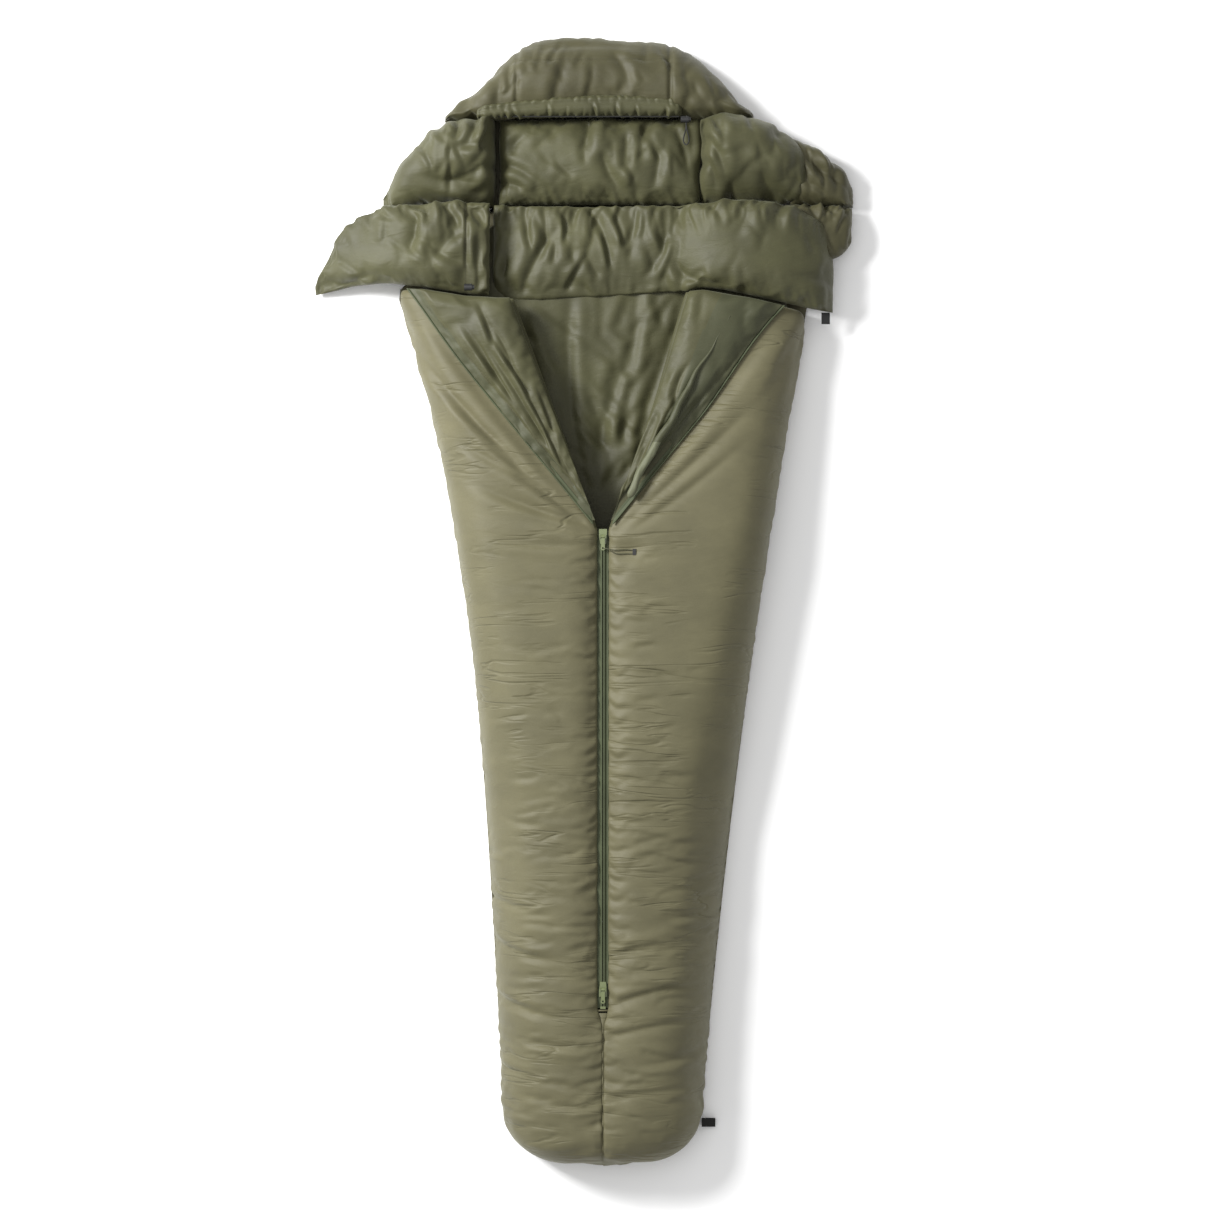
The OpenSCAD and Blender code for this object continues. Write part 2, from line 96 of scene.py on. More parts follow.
def new_material(name):
    """An empty node material and its nodes, links and Principled shader."""
    material = bpy.data.materials.new(name)
    material.use_nodes = True
    nodes, links = material.node_tree.nodes, material.node_tree.links
    return material, nodes, links, nodes["Principled BSDF"]


def add_node(nodes, kind, **settings):
    """A node with the given properties, and inputs given as in_NAME."""
    node = nodes.new(kind)
    for key, value in settings.items():
        if key.startswith("in_"):
            node.inputs[key[3:].replace("_", " ")].default_value = value
        else:
            setattr(node, key, value)
    return node


def scaled_coords(nodes, links, scale):
    """Object coordinates stretched by scale along each axis."""
    coords = add_node(nodes, "ShaderNodeTexCoord")
    mapping = add_node(nodes, "ShaderNodeMapping")
    mapping.inputs["Scale"].default_value = scale
    links.new(coords.outputs["Object"], mapping.inputs["Vector"])
    return mapping.outputs["Vector"]


def weave_height(nodes, links, pitch):
    """Height of a plain weave with the given thread pitch: two crossed sets of threads."""
    cross = add_node(nodes, "ShaderNodeMath", operation="MAXIMUM")
    scale = 2 * math.pi / pitch / 20
    for slot, direction in enumerate(("X", "Y")):
        wave = add_node(nodes, "ShaderNodeTexWave", bands_direction=direction, wave_profile="SIN",
                        in_Scale=1.0, in_Distortion=0.6, in_Detail=1.0)
        links.new(scaled_coords(nodes, links, (scale, scale, scale)), wave.inputs["Vector"])
        links.new(wave.outputs["Fac"], cross.inputs[slot])
    return cross.outputs["Value"]


def creased(nodes, links, scale):
    """Height of sharp creases: thin valleys that come and go in patches."""
    lines = add_node(nodes, "ShaderNodeTexNoise", in_Scale=1.0, in_Detail=2.5, in_Roughness=0.5,
                     in_Distortion=0.5)
    links.new(scaled_coords(nodes, links, scale), lines.inputs["Vector"])
    centred = add_node(nodes, "ShaderNodeMath", operation="SUBTRACT")
    centred.inputs[1].default_value = 0.5
    folded = add_node(nodes, "ShaderNodeMath", operation="ABSOLUTE")
    valley = add_node(nodes, "ShaderNodeMapRange", in_From_Max=0.055)
    valley.interpolation_type = "SMOOTHSTEP"
    where = add_node(nodes, "ShaderNodeTexNoise", in_Scale=7.0, in_Detail=2.0)
    links.new(scaled_coords(nodes, links, (1, 1.4, 1)), where.inputs["Vector"])
    patch = add_node(nodes, "ShaderNodeMapRange", in_From_Min=0.46, in_From_Max=0.62)
    depth = add_node(nodes, "ShaderNodeMath", operation="SUBTRACT")
    depth.inputs[1].default_value = 1.0
    height = add_node(nodes, "ShaderNodeMath", operation="MULTIPLY")
    links.new(lines.outputs["Fac"], centred.inputs[0])
    links.new(centred.outputs["Value"], folded.inputs[0])
    links.new(folded.outputs["Value"], valley.inputs["Value"])
    links.new(where.outputs["Fac"], patch.inputs["Value"])
    links.new(valley.outputs["Result"], depth.inputs[0])
    links.new(depth.outputs["Value"], height.inputs[0])
    links.new(patch.outputs["Result"], height.inputs[1])
    return height.outputs["Value"]


def fabric(name, dark, light, roughness, sheen, crumple, crease=None, pitch=0.0012):
    """Woven nylon: patchy colour, small crumples, a fine weave, and any sharp creases, at that scale."""
    material, nodes, links, shader = new_material(name)
    shader.inputs["Sheen Weight"].default_value = sheen
    shader.inputs["Sheen Roughness"].default_value = 0.45
    shader.inputs["Sheen Tint"].default_value = (0.80, 0.82, 0.62, 1)
    shader.inputs["Specular IOR Level"].default_value = 0.30
    patches = add_node(nodes, "ShaderNodeTexNoise", in_Scale=9.0, in_Detail=4.0, in_Roughness=0.6)
    links.new(scaled_coords(nodes, links, (1, 1.6, 1)), patches.inputs["Vector"])
    ramp = add_node(nodes, "ShaderNodeValToRGB")
    ramp.color_ramp.elements[0].position = 0.30
    ramp.color_ramp.elements[0].color = (*dark, 1)
    ramp.color_ramp.elements[1].position = 0.72
    ramp.color_ramp.elements[1].color = (*light, 1)
    links.new(patches.outputs["Fac"], ramp.inputs["Fac"])
    links.new(ramp.outputs["Color"], shader.inputs["Base Color"])
    gloss = add_node(nodes, "ShaderNodeMapRange")
    gloss.inputs["To Min"].default_value = roughness - 0.07
    gloss.inputs["To Max"].default_value = roughness + 0.09
    links.new(patches.outputs["Fac"], gloss.inputs["Value"])
    links.new(gloss.outputs["Result"], shader.inputs["Roughness"])
    folds = add_node(nodes, "ShaderNodeTexNoise", in_Scale=26.0, in_Detail=5.0, in_Roughness=0.55,
                     in_Distortion=0.7)
    links.new(scaled_coords(nodes, links, (0.7, 1.9, 1)), folds.inputs["Vector"])
    fold_bump = add_node(nodes, "ShaderNodeBump", in_Strength=0.55, in_Distance=crumple)
    links.new(folds.outputs["Fac"], fold_bump.inputs["Height"])
    weave_bump = add_node(nodes, "ShaderNodeBump", in_Strength=0.25, in_Distance=0.00025)
    links.new(weave_height(nodes, links, pitch), weave_bump.inputs["Height"])
    links.new(fold_bump.outputs["Normal"], weave_bump.inputs["Normal"])
    if crease:
        crease_bump = add_node(nodes, "ShaderNodeBump", in_Strength=0.60, in_Distance=0.0026)
        links.new(creased(nodes, links, crease), crease_bump.inputs["Height"])
        links.new(crease_bump.outputs["Normal"], fold_bump.inputs["Normal"])
    links.new(weave_bump.outputs["Normal"], shader.inputs["Normal"])
    return material


def plain(name, colour, roughness, metallic=0.0, coat=0.0):
    """Moulded, painted or wire material: slight colour change and a fine surface grain."""
    material, nodes, links, shader = new_material(name)
    shader.inputs["Metallic"].default_value = metallic
    shader.inputs["Coat Weight"].default_value = coat
    shader.inputs["Roughness"].default_value = roughness
    grain = add_node(nodes, "ShaderNodeTexNoise", in_Scale=900.0, in_Detail=3.0)
    links.new(scaled_coords(nodes, links, (1, 1, 1)), grain.inputs["Vector"])
    ramp = add_node(nodes, "ShaderNodeValToRGB")
    ramp.color_ramp.elements[0].color = (*[c * 0.75 for c in colour], 1)
    ramp.color_ramp.elements[1].color = (*[min(1, c * 1.2) for c in colour], 1)
    links.new(grain.outputs["Fac"], ramp.inputs["Fac"])
    links.new(ramp.outputs["Color"], shader.inputs["Base Color"])
    bump = add_node(nodes, "ShaderNodeBump", in_Strength=0.3, in_Distance=0.0002)
    links.new(grain.outputs["Fac"], bump.inputs["Height"])
    links.new(bump.outputs["Normal"], shader.inputs["Normal"])
    return material


SHELL = fabric("shell_nylon", (0.083, 0.076, 0.040), (0.107, 0.098, 0.052), 0.58, 0.11, 0.0016,
               (5, 34, 5))
BRIM_CLOTH = fabric("brim_nylon", (0.039, 0.036, 0.016), (0.056, 0.052, 0.023), 0.58, 0.08, 0.0026)
LINING = fabric("lining_nylon", (0.040, 0.039, 0.017), (0.057, 0.056, 0.024), 0.56, 0.10, 0.0028)
FACING = fabric("facing_nylon", (0.038, 0.040, 0.019), (0.053, 0.055, 0.027), 0.58, 0.10, 0.0022)
DRAFT = fabric("draft_tube_nylon", (0.082, 0.086, 0.050), (0.105, 0.110, 0.065), 0.58, 0.11, 0.0016)
TAPE = fabric("zip_tape_weave", (0.039, 0.047, 0.022), (0.057, 0.068, 0.033), 0.62, 0.08, 0.0003,
              pitch=0.0018)
COIL = plain("zip_coil_nylon", (0.050, 0.060, 0.028), 0.42)
METAL = plain("green_enamel", (0.115, 0.137, 0.056), 0.36, coat=0.25)
WEBBING = fabric("black_webbing", (0.005, 0.005, 0.005), (0.011, 0.011, 0.010), 0.7, 0.08, 0.0002,
                 pitch=0.0022)
CORD = fabric("black_cord_braid", (0.005, 0.005, 0.005), (0.011, 0.011, 0.010), 0.65, 0.08, 0.0002,
              pitch=0.0016)
TAPE_CORD = fabric("olive_cord_braid", (0.034, 0.035, 0.017), (0.052, 0.053, 0.028), 0.65, 0.08, 0.0002,
                   pitch=0.0016)
PLASTIC = plain("black_plastic", (0.010, 0.010, 0.010), 0.42)
THREAD = plain("seam_thread", (0.034, 0.032, 0.017), 0.75)
STEEL = plain("spring_wire", (0.55, 0.55, 0.57), 0.28, metallic=1.0)


# --- mesh helpers -----------------------------------------------------------------

def mesh_object(name, verts, faces, materials, indices=None, smooth=True):
    mesh = bpy.data.meshes.new(name)
    mesh.from_pydata([tuple(v) for v in verts], [], faces)
    for material in materials:
        mesh.materials.append(material)
    if indices is not None:
        mesh.polygons.foreach_set("material_index", indices)
    mesh.polygons.foreach_set("use_smooth", [smooth] * len(mesh.polygons))
    mesh.update()
    obj = bpy.data.objects.new(name, mesh)
    bpy.context.scene.collection.objects.link(obj)
    return obj


def grid_quads(rows, cols):
    """Faces of a grid of rows by cols points."""
    return [(i * cols + j, i * cols + j + 1, (i + 1) * cols + j + 1, (i + 1) * cols + j)
            for i in range(rows - 1) for j in range(cols - 1)]


def applied(obj):
    """The object with its modifiers applied."""
    graph = bpy.context.evaluated_depsgraph_get()
    mesh = bpy.data.meshes.new_from_object(obj.evaluated_get(graph))
    old = obj.data
    obj.modifiers.clear()
    obj.data = mesh
    mesh.name = obj.name
    bpy.data.meshes.remove(old)
    return obj


def subdivided(obj):
    modifier = obj.modifiers.new("subdivision", "SUBSURF")
    modifier.levels = modifier.render_levels = 1
    return applied(obj)


def smoothstep(t):
    t = np.clip(t, 0.0, 1.0)
    return t * t * (3 - 2 * t)


def lerp(a, b, t):
    return a + (b - a) * t


def rounded(path, times=3):
    """An open path with its corners cut off, again and again."""
    path = np.asarray(path, float)
    for _ in range(times):
        a, b = path[:-1], path[1:]
        cut = np.empty((2 * len(a), path.shape[1]))
        cut[0::2], cut[1::2] = 0.75 * a + 0.25 * b, 0.25 * a + 0.75 * b
        path = np.concatenate([path[:1], cut, path[-1:]])
    return path


def resample(path, count):
    """Points spaced evenly along a path."""
    step = np.linalg.norm(np.diff(path, axis=0), axis=1)
    reach = np.concatenate([[0], np.cumsum(step)])
    at = np.linspace(0, reach[-1], count)
    return np.stack([np.interp(at, reach, path[:, k]) for k in range(path.shape[1])], axis=1)


def along(sections, count, soften=12):
    """Values of the sections at evenly spaced x, with their changes rounded off."""
    table = np.array(sections, float)
    x = np.linspace(table[0, 0], table[-1, 0], count)
    rows = np.stack([x] + [np.interp(x, table[:, 0], table[:, k]) for k in range(1, table.shape[1])], 1)
    for _ in range(soften):
        rows[1:-1, 1:] = 0.25 * rows[:-2, 1:] + 0.5 * rows[1:-1, 1:] + 0.25 * rows[2:, 1:]
    return rows


def roll(distance, width):
    """1 at an edge, falling to 0 at width from it along a quarter circle."""
    near = np.clip(np.asarray(distance, float) / width, 0, 1)
    return 1 - np.sqrt(1 - (1 - near) ** 2)


def arcs(grid):
    """Distance of each point of a grid from its first column, and from its first row."""
    across = np.cumsum(np.linalg.norm(np.diff(grid, axis=1, prepend=grid[:, :1]), axis=2), axis=1)
    down = np.cumsum(np.linalg.norm(np.diff(grid, axis=0, prepend=grid[:1]), axis=2), axis=0)
    return across, down


def from_edge(grid, side):
    """Distance of each point from an edge of its grid, and its place along that edge."""
    across, down = arcs(grid)
    return {"first_column": (across, down), "last_column": (across[:, -1:] - across, down),
            "first_row": (down, across), "last_row": (down[-1:] - down, across)}[side]


def normals_of(grid):
    """Unit normals of a grid, on its upper side."""
    normals = np.cross(np.gradient(grid, axis=1), np.gradient(grid, axis=0))
    normals /= np.maximum(np.linalg.norm(normals, axis=2, keepdims=True), 1e-12)
    return normals if normals[..., 2].mean() > 0 else -normals


def upside_down(grid):
    """Whether the grid's faces point down."""
    return np.cross(np.gradient(grid, axis=1), np.gradient(grid, axis=0))[..., 2].mean() < 0


def field(points, stretch, seed, octaves=3):
    """Smooth random values, about -1 to 1, at points stretched along each axis."""
    shift = Vector((17.3 * seed, 5.1 * seed, 9.7 * seed))
    flat = points.reshape(-1, 3) * np.array(stretch)
    values = [noise.fractal(Vector(p) + shift, 1.0, 2.0, octaves) for p in flat]
    return np.array(values).reshape(points.shape[:-1])


# --- folds and gathers ------------------------------------------------------------

def creases(place, lines):
    """Height of tapering folds, each a furrow from (x0, y0) to (x1, y1) with a ridge beside it.

    A line is (x0, y0, x1, y1, width, depth, bow), and bow is how far its middle is bent aside.
    """
    total = np.zeros(place.shape[:2])
    for x0, y0, x1, y1, width, depth, bow in lines:
        run = np.array([x1 - x0, y1 - y0])
        length = np.hypot(*run)
        run /= length
        rel = place - np.array([x0, y0])
        s = rel @ run / length
        d = (rel[..., 1] * run[0] - rel[..., 0] * run[1] - 4 * bow * s * (1 - s)) / width
        taper = smoothstep((s + 0.10) / 0.22) * smoothstep((1.0 - s) / 0.6)
        total += depth * taper * (0.60 * np.exp(-((d - 1.9) / 1.5) ** 2) - np.exp(-np.abs(d) ** 1.3))
    return total


def gathers(grid, side, rng, spacing, reach, depth):
    """Height of the puckers that run from a seam along one edge of a grid."""
    off, place = from_edge(grid, side)
    lines, at, end = [], rng.uniform(0, spacing), place.max()
    while at < end:
        r = reach * rng.uniform(0.5, 1.6)
        width = min(rng.uniform(0.20, 0.34) * spacing, 0.0065)
        lines.append((-0.006, at, r, at + r * rng.uniform(-0.35, 0.35), width,
                      depth * rng.uniform(0.4, 1.2), r * rng.uniform(-0.08, 0.08)))
        at += spacing * rng.uniform(0.5, 1.5)
    return creases(np.stack([off, place], -1), lines)


def scattered(rng, count, x_range, y_range, slope, length, width, depth):
    """Lines for creases() at random places, with slopes and sizes between two limits."""
    lines = []
    for _ in range(count):
        x, y = rng.uniform(*x_range), rng.uniform(*y_range)
        angle, size = math.radians(rng.uniform(*slope)), rng.uniform(*length)
        lines.append((x, y, x + size * math.cos(angle), y + size * math.sin(angle),
                      rng.uniform(*width), rng.uniform(*depth), size * rng.uniform(-0.1, 0.1)))
    return lines


def seam_groove(place, lines):
    """Height of stitched seams: narrow furrows of even depth along (x0, y0)-(x1, y1)."""
    total = np.zeros(place.shape[:2])
    for x0, y0, x1, y1, width, depth in lines:
        run = np.array([x1 - x0, y1 - y0])
        length = np.hypot(*run)
        rel = place - np.array([x0, y0])
        s = rel @ run / length ** 2
        d = (rel[..., 1] * run[0] - rel[..., 0] * run[1]) / length / width
        total -= depth * np.exp(-np.abs(d) ** 1.3) * ((s > -0.03) & (s < 1.03))
    return total


# --- cloth ------------------------------------------------------------------------

FRAMES = 20


def loosened(grid, tight):
    """1 where the cloth lies smooth, down to 0 at seams that gather it; tight is (side, share, reach)."""
    weight = np.ones(grid.shape[:2])
    for side, share, reach in tight:
        weight = np.minimum(weight, 1 - share * np.exp(-from_edge(grid, side)[0] / reach))
    return weight


def cloth_sheet(grid, loose, slack, pressure):
    """A sheet of cloth sewn down along its edges.

    loose is 0 where a seam gathers the cloth, so it has slack as spare length there, and 1
    where it has none.
    """
    rows, cols = grid.shape[:2]
    faces = grid_quads(rows, cols)
    if upside_down(grid):
        faces = [face[::-1] for face in faces]
    obj = mesh_object("cloth", grid.reshape(-1, 3), faces, [])
    edge = [i * cols + j for i in range(rows) for j in range(cols)
            if i in (0, rows - 1) or j in (0, cols - 1)]
    obj.vertex_groups.new(name="pins").add(edge, 1.0, "REPLACE")
    group = obj.vertex_groups.new(name="loose")
    for index, weight in enumerate(loose.reshape(-1)):
        group.add([index], float(weight), "REPLACE")
    modifier = obj.modifiers.new("cloth", "CLOTH")
    s = modifier.settings
    s.quality = 5
    s.mass = 0.15
    s.tension_stiffness = s.compression_stiffness = 20
    s.shear_stiffness = 8
    s.bending_stiffness = 0.05
    s.tension_damping = s.compression_damping = s.shear_damping = 5
    s.bending_damping = 0.5
    s.vertex_group_mass = "pins"
    s.use_pressure = True
    s.uniform_pressure_force = pressure
    s.effector_weights.gravity = 0.0
    s.vertex_group_shrink = "loose"
    s.shrink_min = -slack
    s.shrink_max = 0.0
    modifier.collision_settings.use_collision = False
    modifier.point_cache.frame_start = 1
    modifier.point_cache.frame_end = FRAMES
    return obj


def settled(obj):
    """Runs a cloth object's simulation, removes the object and gives its last points."""
    scene = bpy.context.scene
    for step in range(1, FRAMES + 1):
        scene.frame_set(step)
    graph = bpy.context.evaluated_depsgraph_get()
    moved = np.empty(len(obj.data.vertices) * 3)
    obj.evaluated_get(graph).data.vertices.foreach_get("co", moved)
    mesh = obj.data
    bpy.data.objects.remove(obj)
    bpy.data.meshes.remove(mesh)
    scene.frame_set(1)
    return moved


def blow_up(grid, loose, slack, pressure, cap):
    """The grid's points after its cloth is inflated. cap is the most that each may move."""
    shift = settled(cloth_sheet(grid, loose, slack, pressure)).reshape(grid.shape) - grid
    length = np.maximum(np.linalg.norm(shift, axis=2), 1e-9)
    most = cap * np.ones(grid.shape[:2])
    shift *= (np.maximum(most, 1e-6) * np.tanh(length / np.maximum(most, 1e-6)) / length)[..., None]
    for _ in range(2):
        shift[1:-1, 1:-1] = (0.5 * shift[1:-1, 1:-1] + 0.125 * (
            shift[:-2, 1:-1] + shift[2:, 1:-1] + shift[1:-1, :-2] + shift[1:-1, 2:]))
    return grid + shift


# --- pieces -----------------------------------------------------------------------

def fit(obj, body, slot, *nodes):
    """Makes a piece ride on its body and stand for its CAD nodes, which it hides; slot is not used."""
    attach(obj, body)
    if nodes:
        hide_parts(*nodes)
    return obj


def pad(name, top, bottom, materials, paint=None, smooth=True):
    """A closed padded piece: two grids of points whose edges are the top's.

    The first material is above and the last one below; paint gives each upper face its own.
    """
    if paint is None:
        paint = np.zeros((top.shape[0] - 1, top.shape[1] - 1), int)
    if upside_down(top):
        top, bottom, paint = top[:, ::-1], bottom[:, ::-1], paint[:, ::-1]
    rows, cols = top.shape[:2]
    verts = list(top.reshape(-1, 3))
    lower = {}
    for i in range(rows):
        for j in range(cols):
            lower[i, j] = i * cols + j
            if 0 < i < rows - 1 and 0 < j < cols - 1:
                lower[i, j] = len(verts)
                verts.append(bottom[i, j])
    faces = grid_quads(rows, cols)
    count = len(faces)
    faces += [(lower[i, j], lower[i + 1, j], lower[i + 1, j + 1], lower[i, j + 1])
              for i in range(rows - 1) for j in range(cols - 1)]
    indices = [int(k) for k in paint.reshape(-1)] + [len(materials) - 1] * count
    obj = mesh_object(name, verts, faces, materials, indices)
    return subdivided(obj) if smooth else obj


def puffed(name, top, bottom, materials, body, nodes, tight=(), gather=(), folds=None,
           grooves=(), slack=0.05, pressure=4.0, cap=0.012, seed=1, soft=0.0,
           paint=None, across=None, give=1.0):
    """A padded piece: inflated between its seams, then gathered, folded and stitched.

    give is how freely each point may move: 1, or 0 where another piece holds it down.
    """
    rng = np.random.default_rng(seed)
    if soft:
        top = top + normals_of(top) * (field(top, (7, 7, 7), seed) * soft)[..., None]
    if slack:
        top = blow_up(top, loosened(top, tight), slack, pressure, cap * give)
    rise = np.zeros(top.shape[:2])
    for side, spacing, reach, depth in gather:
        rise += gathers(top, side, rng, spacing, reach, depth)
    if folds is not None:
        rise += creases(top[..., :2], folds(rng))
    if grooves:
        rise += seam_groove(top[..., :2], grooves)
    edge = np.ones(top.shape[:2])
    edge[[0, -1]] = 0.35
    edge[:, [0, -1]] = 0.35
    top = top + normals_of(top) * (rise * edge * smoothstep(4 * np.asarray(give)))[..., None]
    piece = pad(name, top, bottom, materials, paint)
    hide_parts(*nodes)
    if across:
        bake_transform(piece)
    else:
        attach(piece, body)
    return piece


def tube(name, path, radius, materials, sides=16):
    """A tube along a path; radius is one number, or one for each point of the path and side."""
    path = np.asarray(path, float)
    count = len(path)
    tangent = np.gradient(path, axis=0)
    tangent /= np.linalg.norm(tangent, axis=1, keepdims=True)
    side = np.cross(tangent, (0.0, 0.0, 1.0))
    side /= np.linalg.norm(side, axis=1, keepdims=True)
    over = np.cross(side, tangent)
    angle = np.linspace(0, 2 * math.pi, sides, endpoint=False)
    wide = np.broadcast_to(radius, (count, sides))
    ring = (side[:, None] * np.cos(angle)[None, :, None] + over[:, None] * np.sin(angle)[None, :, None])
    verts = (path[:, None] + ring * wide[..., None]).reshape(-1, 3)
    faces = [(i * sides + k, i * sides + (k + 1) % sides,
              (i + 1) * sides + (k + 1) % sides, (i + 1) * sides + k)
             for i in range(count - 1) for k in range(sides)]
    faces.append(tuple(range(sides))[::-1])
    faces.append(tuple((count - 1) * sides + k for k in range(sides)))
    return mesh_object(name, verts, faces, materials)


def laid_on(piece, plan):
    """Points of a plan line, dropped on to a piece from above."""
    mesh = piece.data
    tree = BVHTree.FromPolygons([v.co for v in mesh.vertices], [p.vertices for p in mesh.polygons])
    hits = [tree.ray_cast(Vector((x, y, 1.0)), Vector((0, 0, -1)))[0] for x, y in plan]
    return np.array([hit for hit in hits if hit is not None])


def stitches(name, piece, plan, body, slot, pitch=0.0042, wire=0.00035):
    """A row of sewn stitches on a piece along a plan line."""
    path = laid_on(piece, resample(np.array(plan, float), 240))
    step = np.linalg.norm(np.diff(path, axis=0), axis=1).sum()
    path = resample(path, 4 * int(step / pitch) + 1)
    verts, faces = [], []
    angle = np.arange(5) * 2 * math.pi / 5
    for k in range(0, len(path) - 3, 4):
        ends = path[k], path[k + 1], path[k + 2], path[k + 3]
        along_it = ends[3] - ends[0]
        along_it /= max(1e-9, np.linalg.norm(along_it))
        out = np.cross(along_it, (0, 0, 1.0))
        base = len(verts)
        for co, lift, wide in zip(ends, (-0.6, 0.5, 0.5, -0.6), (0.6, 1.0, 1.0, 0.6)):
            for a in angle:
                verts.append(co + out * wire * wide * math.cos(a)
                             + np.array([0, 0, wire * (lift + wide * math.sin(a))]))
        faces += [(base + r * 5 + i, base + r * 5 + (i + 1) % 5, base + r * 5 + 5 + (i + 1) % 5,
                   base + r * 5 + 5 + i)
                  for r in range(3) for i in range(5)]
        faces += [tuple(base + i for i in range(5))[::-1], tuple(base + 15 + i for i in range(5))]
    return fit(mesh_object(name, verts, faces, [THREAD]), body, slot)


# --- shape of the sack ------------------------------------------------------------

def hand(left):
    """A side's name, its sign on X, and where its front panel ends."""
    return ("left", -1, LEFT_END) if left else ("right", 1, RIGHT_END)


def half_width(y, left):
    if y < STRAIGHT_Y:
        u = min(0.9999, (STRAIGHT_Y - y) / (STRAIGHT_Y - FOOT_Y))
        return FOOT_HALF * (1 - u ** 2.6) ** (1 / 2.6)
    s = (y - STRAIGHT_Y) / (SHOULDER_Y - STRAIGHT_Y)
    share = 0.42 * s + 0.58 * s ** 4 if left else 0.65 * s + 0.35 * s * s
    return FOOT_HALF + (SHOULDER_HALF - FOOT_HALF) * share


def height(y):
    if y < CUT_Y:
        u = min(0.9999, (CUT_Y - y) / (CUT_Y - FOOT_Y))
        return BASE_Z + (LOFT - BASE_Z) * (1 - u ** 2.5) ** (1 / 2.5)
    return LOFT - 0.067 * max(0.0, y - APEX_Y)


def squareness(y):
    return 3 + 3 * min(1.0, max(0.0, (y + 0.4) / 0.5))


def dome(y, angle, depth, left):
    """Point (x, z) of the cross-section at y, depth below its surface; angle 0 is over the zip."""
    e = 2 / squareness(y)
    return (max(0.0, half_width(y, left) - depth) * math.sin(angle) ** e,
            BASE_Z + max(0.0, height(y) - BASE_Z - depth) * max(0.0, math.cos(angle)) ** e)


def dome_angle(y, x, depth, left):
    wide = max(1e-6, half_width(y, left) - depth)
    return math.asin(min(1.0, max(0.0, x / wide)) ** (squareness(y) / 2))


def dome_z(y, x, left):
    return dome(y, dome_angle(y, x, 0.0, left), 0.0, left)[1]


def open_share(y):
    """0 along the foot's centre seam, 1 along the zip."""
    return float(smoothstep((y - ZIP_FOOT_Y + 0.035) / 0.04))


def inner_x(y):
    """Inner edge of a front quilt: the foot seam, the zip, then the fold line."""
    return 0.0004 + (ZIP_HALF - 0.0022) * open_share(y) + FOLD_RUN * max(0.0, y - APEX_Y)


def fold_x(y):
    return ZIP_HALF + FOLD_RUN * max(0.0, y - APEX_Y)


def edge_x(y):
    """Open edge of the zip."""
    return ZIP_HALF + EDGE_RUN * (y - APEX_Y)


def to_neck(grid, left):
    """Carries the head end of a front panel on to the lower edge of the neck band and its wings."""
    out = grid.copy()
    x, y = np.abs(grid[..., 0]), grid[..., 1]
    end_y = hand(left)[2]
    reach = np.interp(x, *(((0.20, 0.26, 0.34, 0.40), (-0.002, 0.002, 0.015, 0.020)) if left else
                           ((0.13, 0.19, 0.28, 0.36, 0.43), (0.042, 0.046, 0.031, 0.014, 0.004))))
    out[..., 1] += reach * smoothstep((y - end_y + 0.20) / 0.20)
    return out


def foot_stations(end_y, step):
    """Places along the sack, closer together round the end of the foot."""
    turn = np.radians(np.linspace(88.5, 0, 13)[:-1])
    foot = CUT_Y - (CUT_Y - FOOT_Y) * np.sin(turn) ** 0.8
    return np.concatenate([foot, np.linspace(CUT_Y, end_y, int((end_y - CUT_Y) / step))])


# --- front quilts -----------------------------------------------------------------

LEFT_FOLDS = [
    (-0.025, 0.147, -0.281, 0.243, 0.0090, 0.0085, 0.010),
    (-0.060, 0.170, -0.310, 0.318, 0.0080, 0.0085, -0.008),
    (-0.100, 0.214, -0.275, 0.348, 0.0065, 0.0065, 0.006),
    (-0.150, 0.252, -0.335, 0.410, 0.0090, 0.0080, -0.006),
    (-0.240, 0.345, -0.382, 0.520, 0.0080, 0.0070, 0.008),
    (-0.030, 0.128, -0.190, 0.172, 0.0070, 0.0050, 0.004),
    (-0.200, 0.300, -0.350, 0.460, 0.0060, 0.0050, 0.004),
    (-0.060, 0.105, -0.240, 0.130, 0.0070, 0.0040, 0.006),
    (-0.210, -0.742, -0.020, -0.778, 0.0075, 0.0070, -0.012),
    (-0.015, -0.836, -0.200, -0.812, 0.0065, 0.0056, 0.006),
    (-0.195, -0.880, -0.030, -0.905, 0.0070, 0.0054, -0.008),
    (-0.014, -0.950, -0.170, -0.930, 0.0060, 0.0046, 0.004),
    (-0.215, -0.640, -0.060, -0.672, 0.0070, 0.0056, -0.008),
    (-0.220, -0.560, -0.080, -0.580, 0.0060, 0.0044, -0.006)]
RIGHT_FOLDS = [
    (0.030, 0.140, 0.330, 0.420, 0.0100, 0.0060, -0.006),
    (0.060, 0.140, 0.300, 0.330, 0.0080, 0.0045, -0.006),
    (0.015, -0.757, 0.215, -0.722, 0.0075, 0.0070, 0.012),
    (0.012, -0.815, 0.200, -0.786, 0.0065, 0.0058, 0.006),
    (0.190, -0.846, 0.020, -0.870, 0.0070, 0.0054, 0.008),
    (0.014, -0.930, 0.185, -0.915, 0.0060, 0.0046, 0.004),
    (0.014, -0.664, 0.175, -0.640, 0.0070, 0.0056, 0.008),
    (0.225, -0.590, 0.080, -0.606, 0.0060, 0.0044, -0.006)]


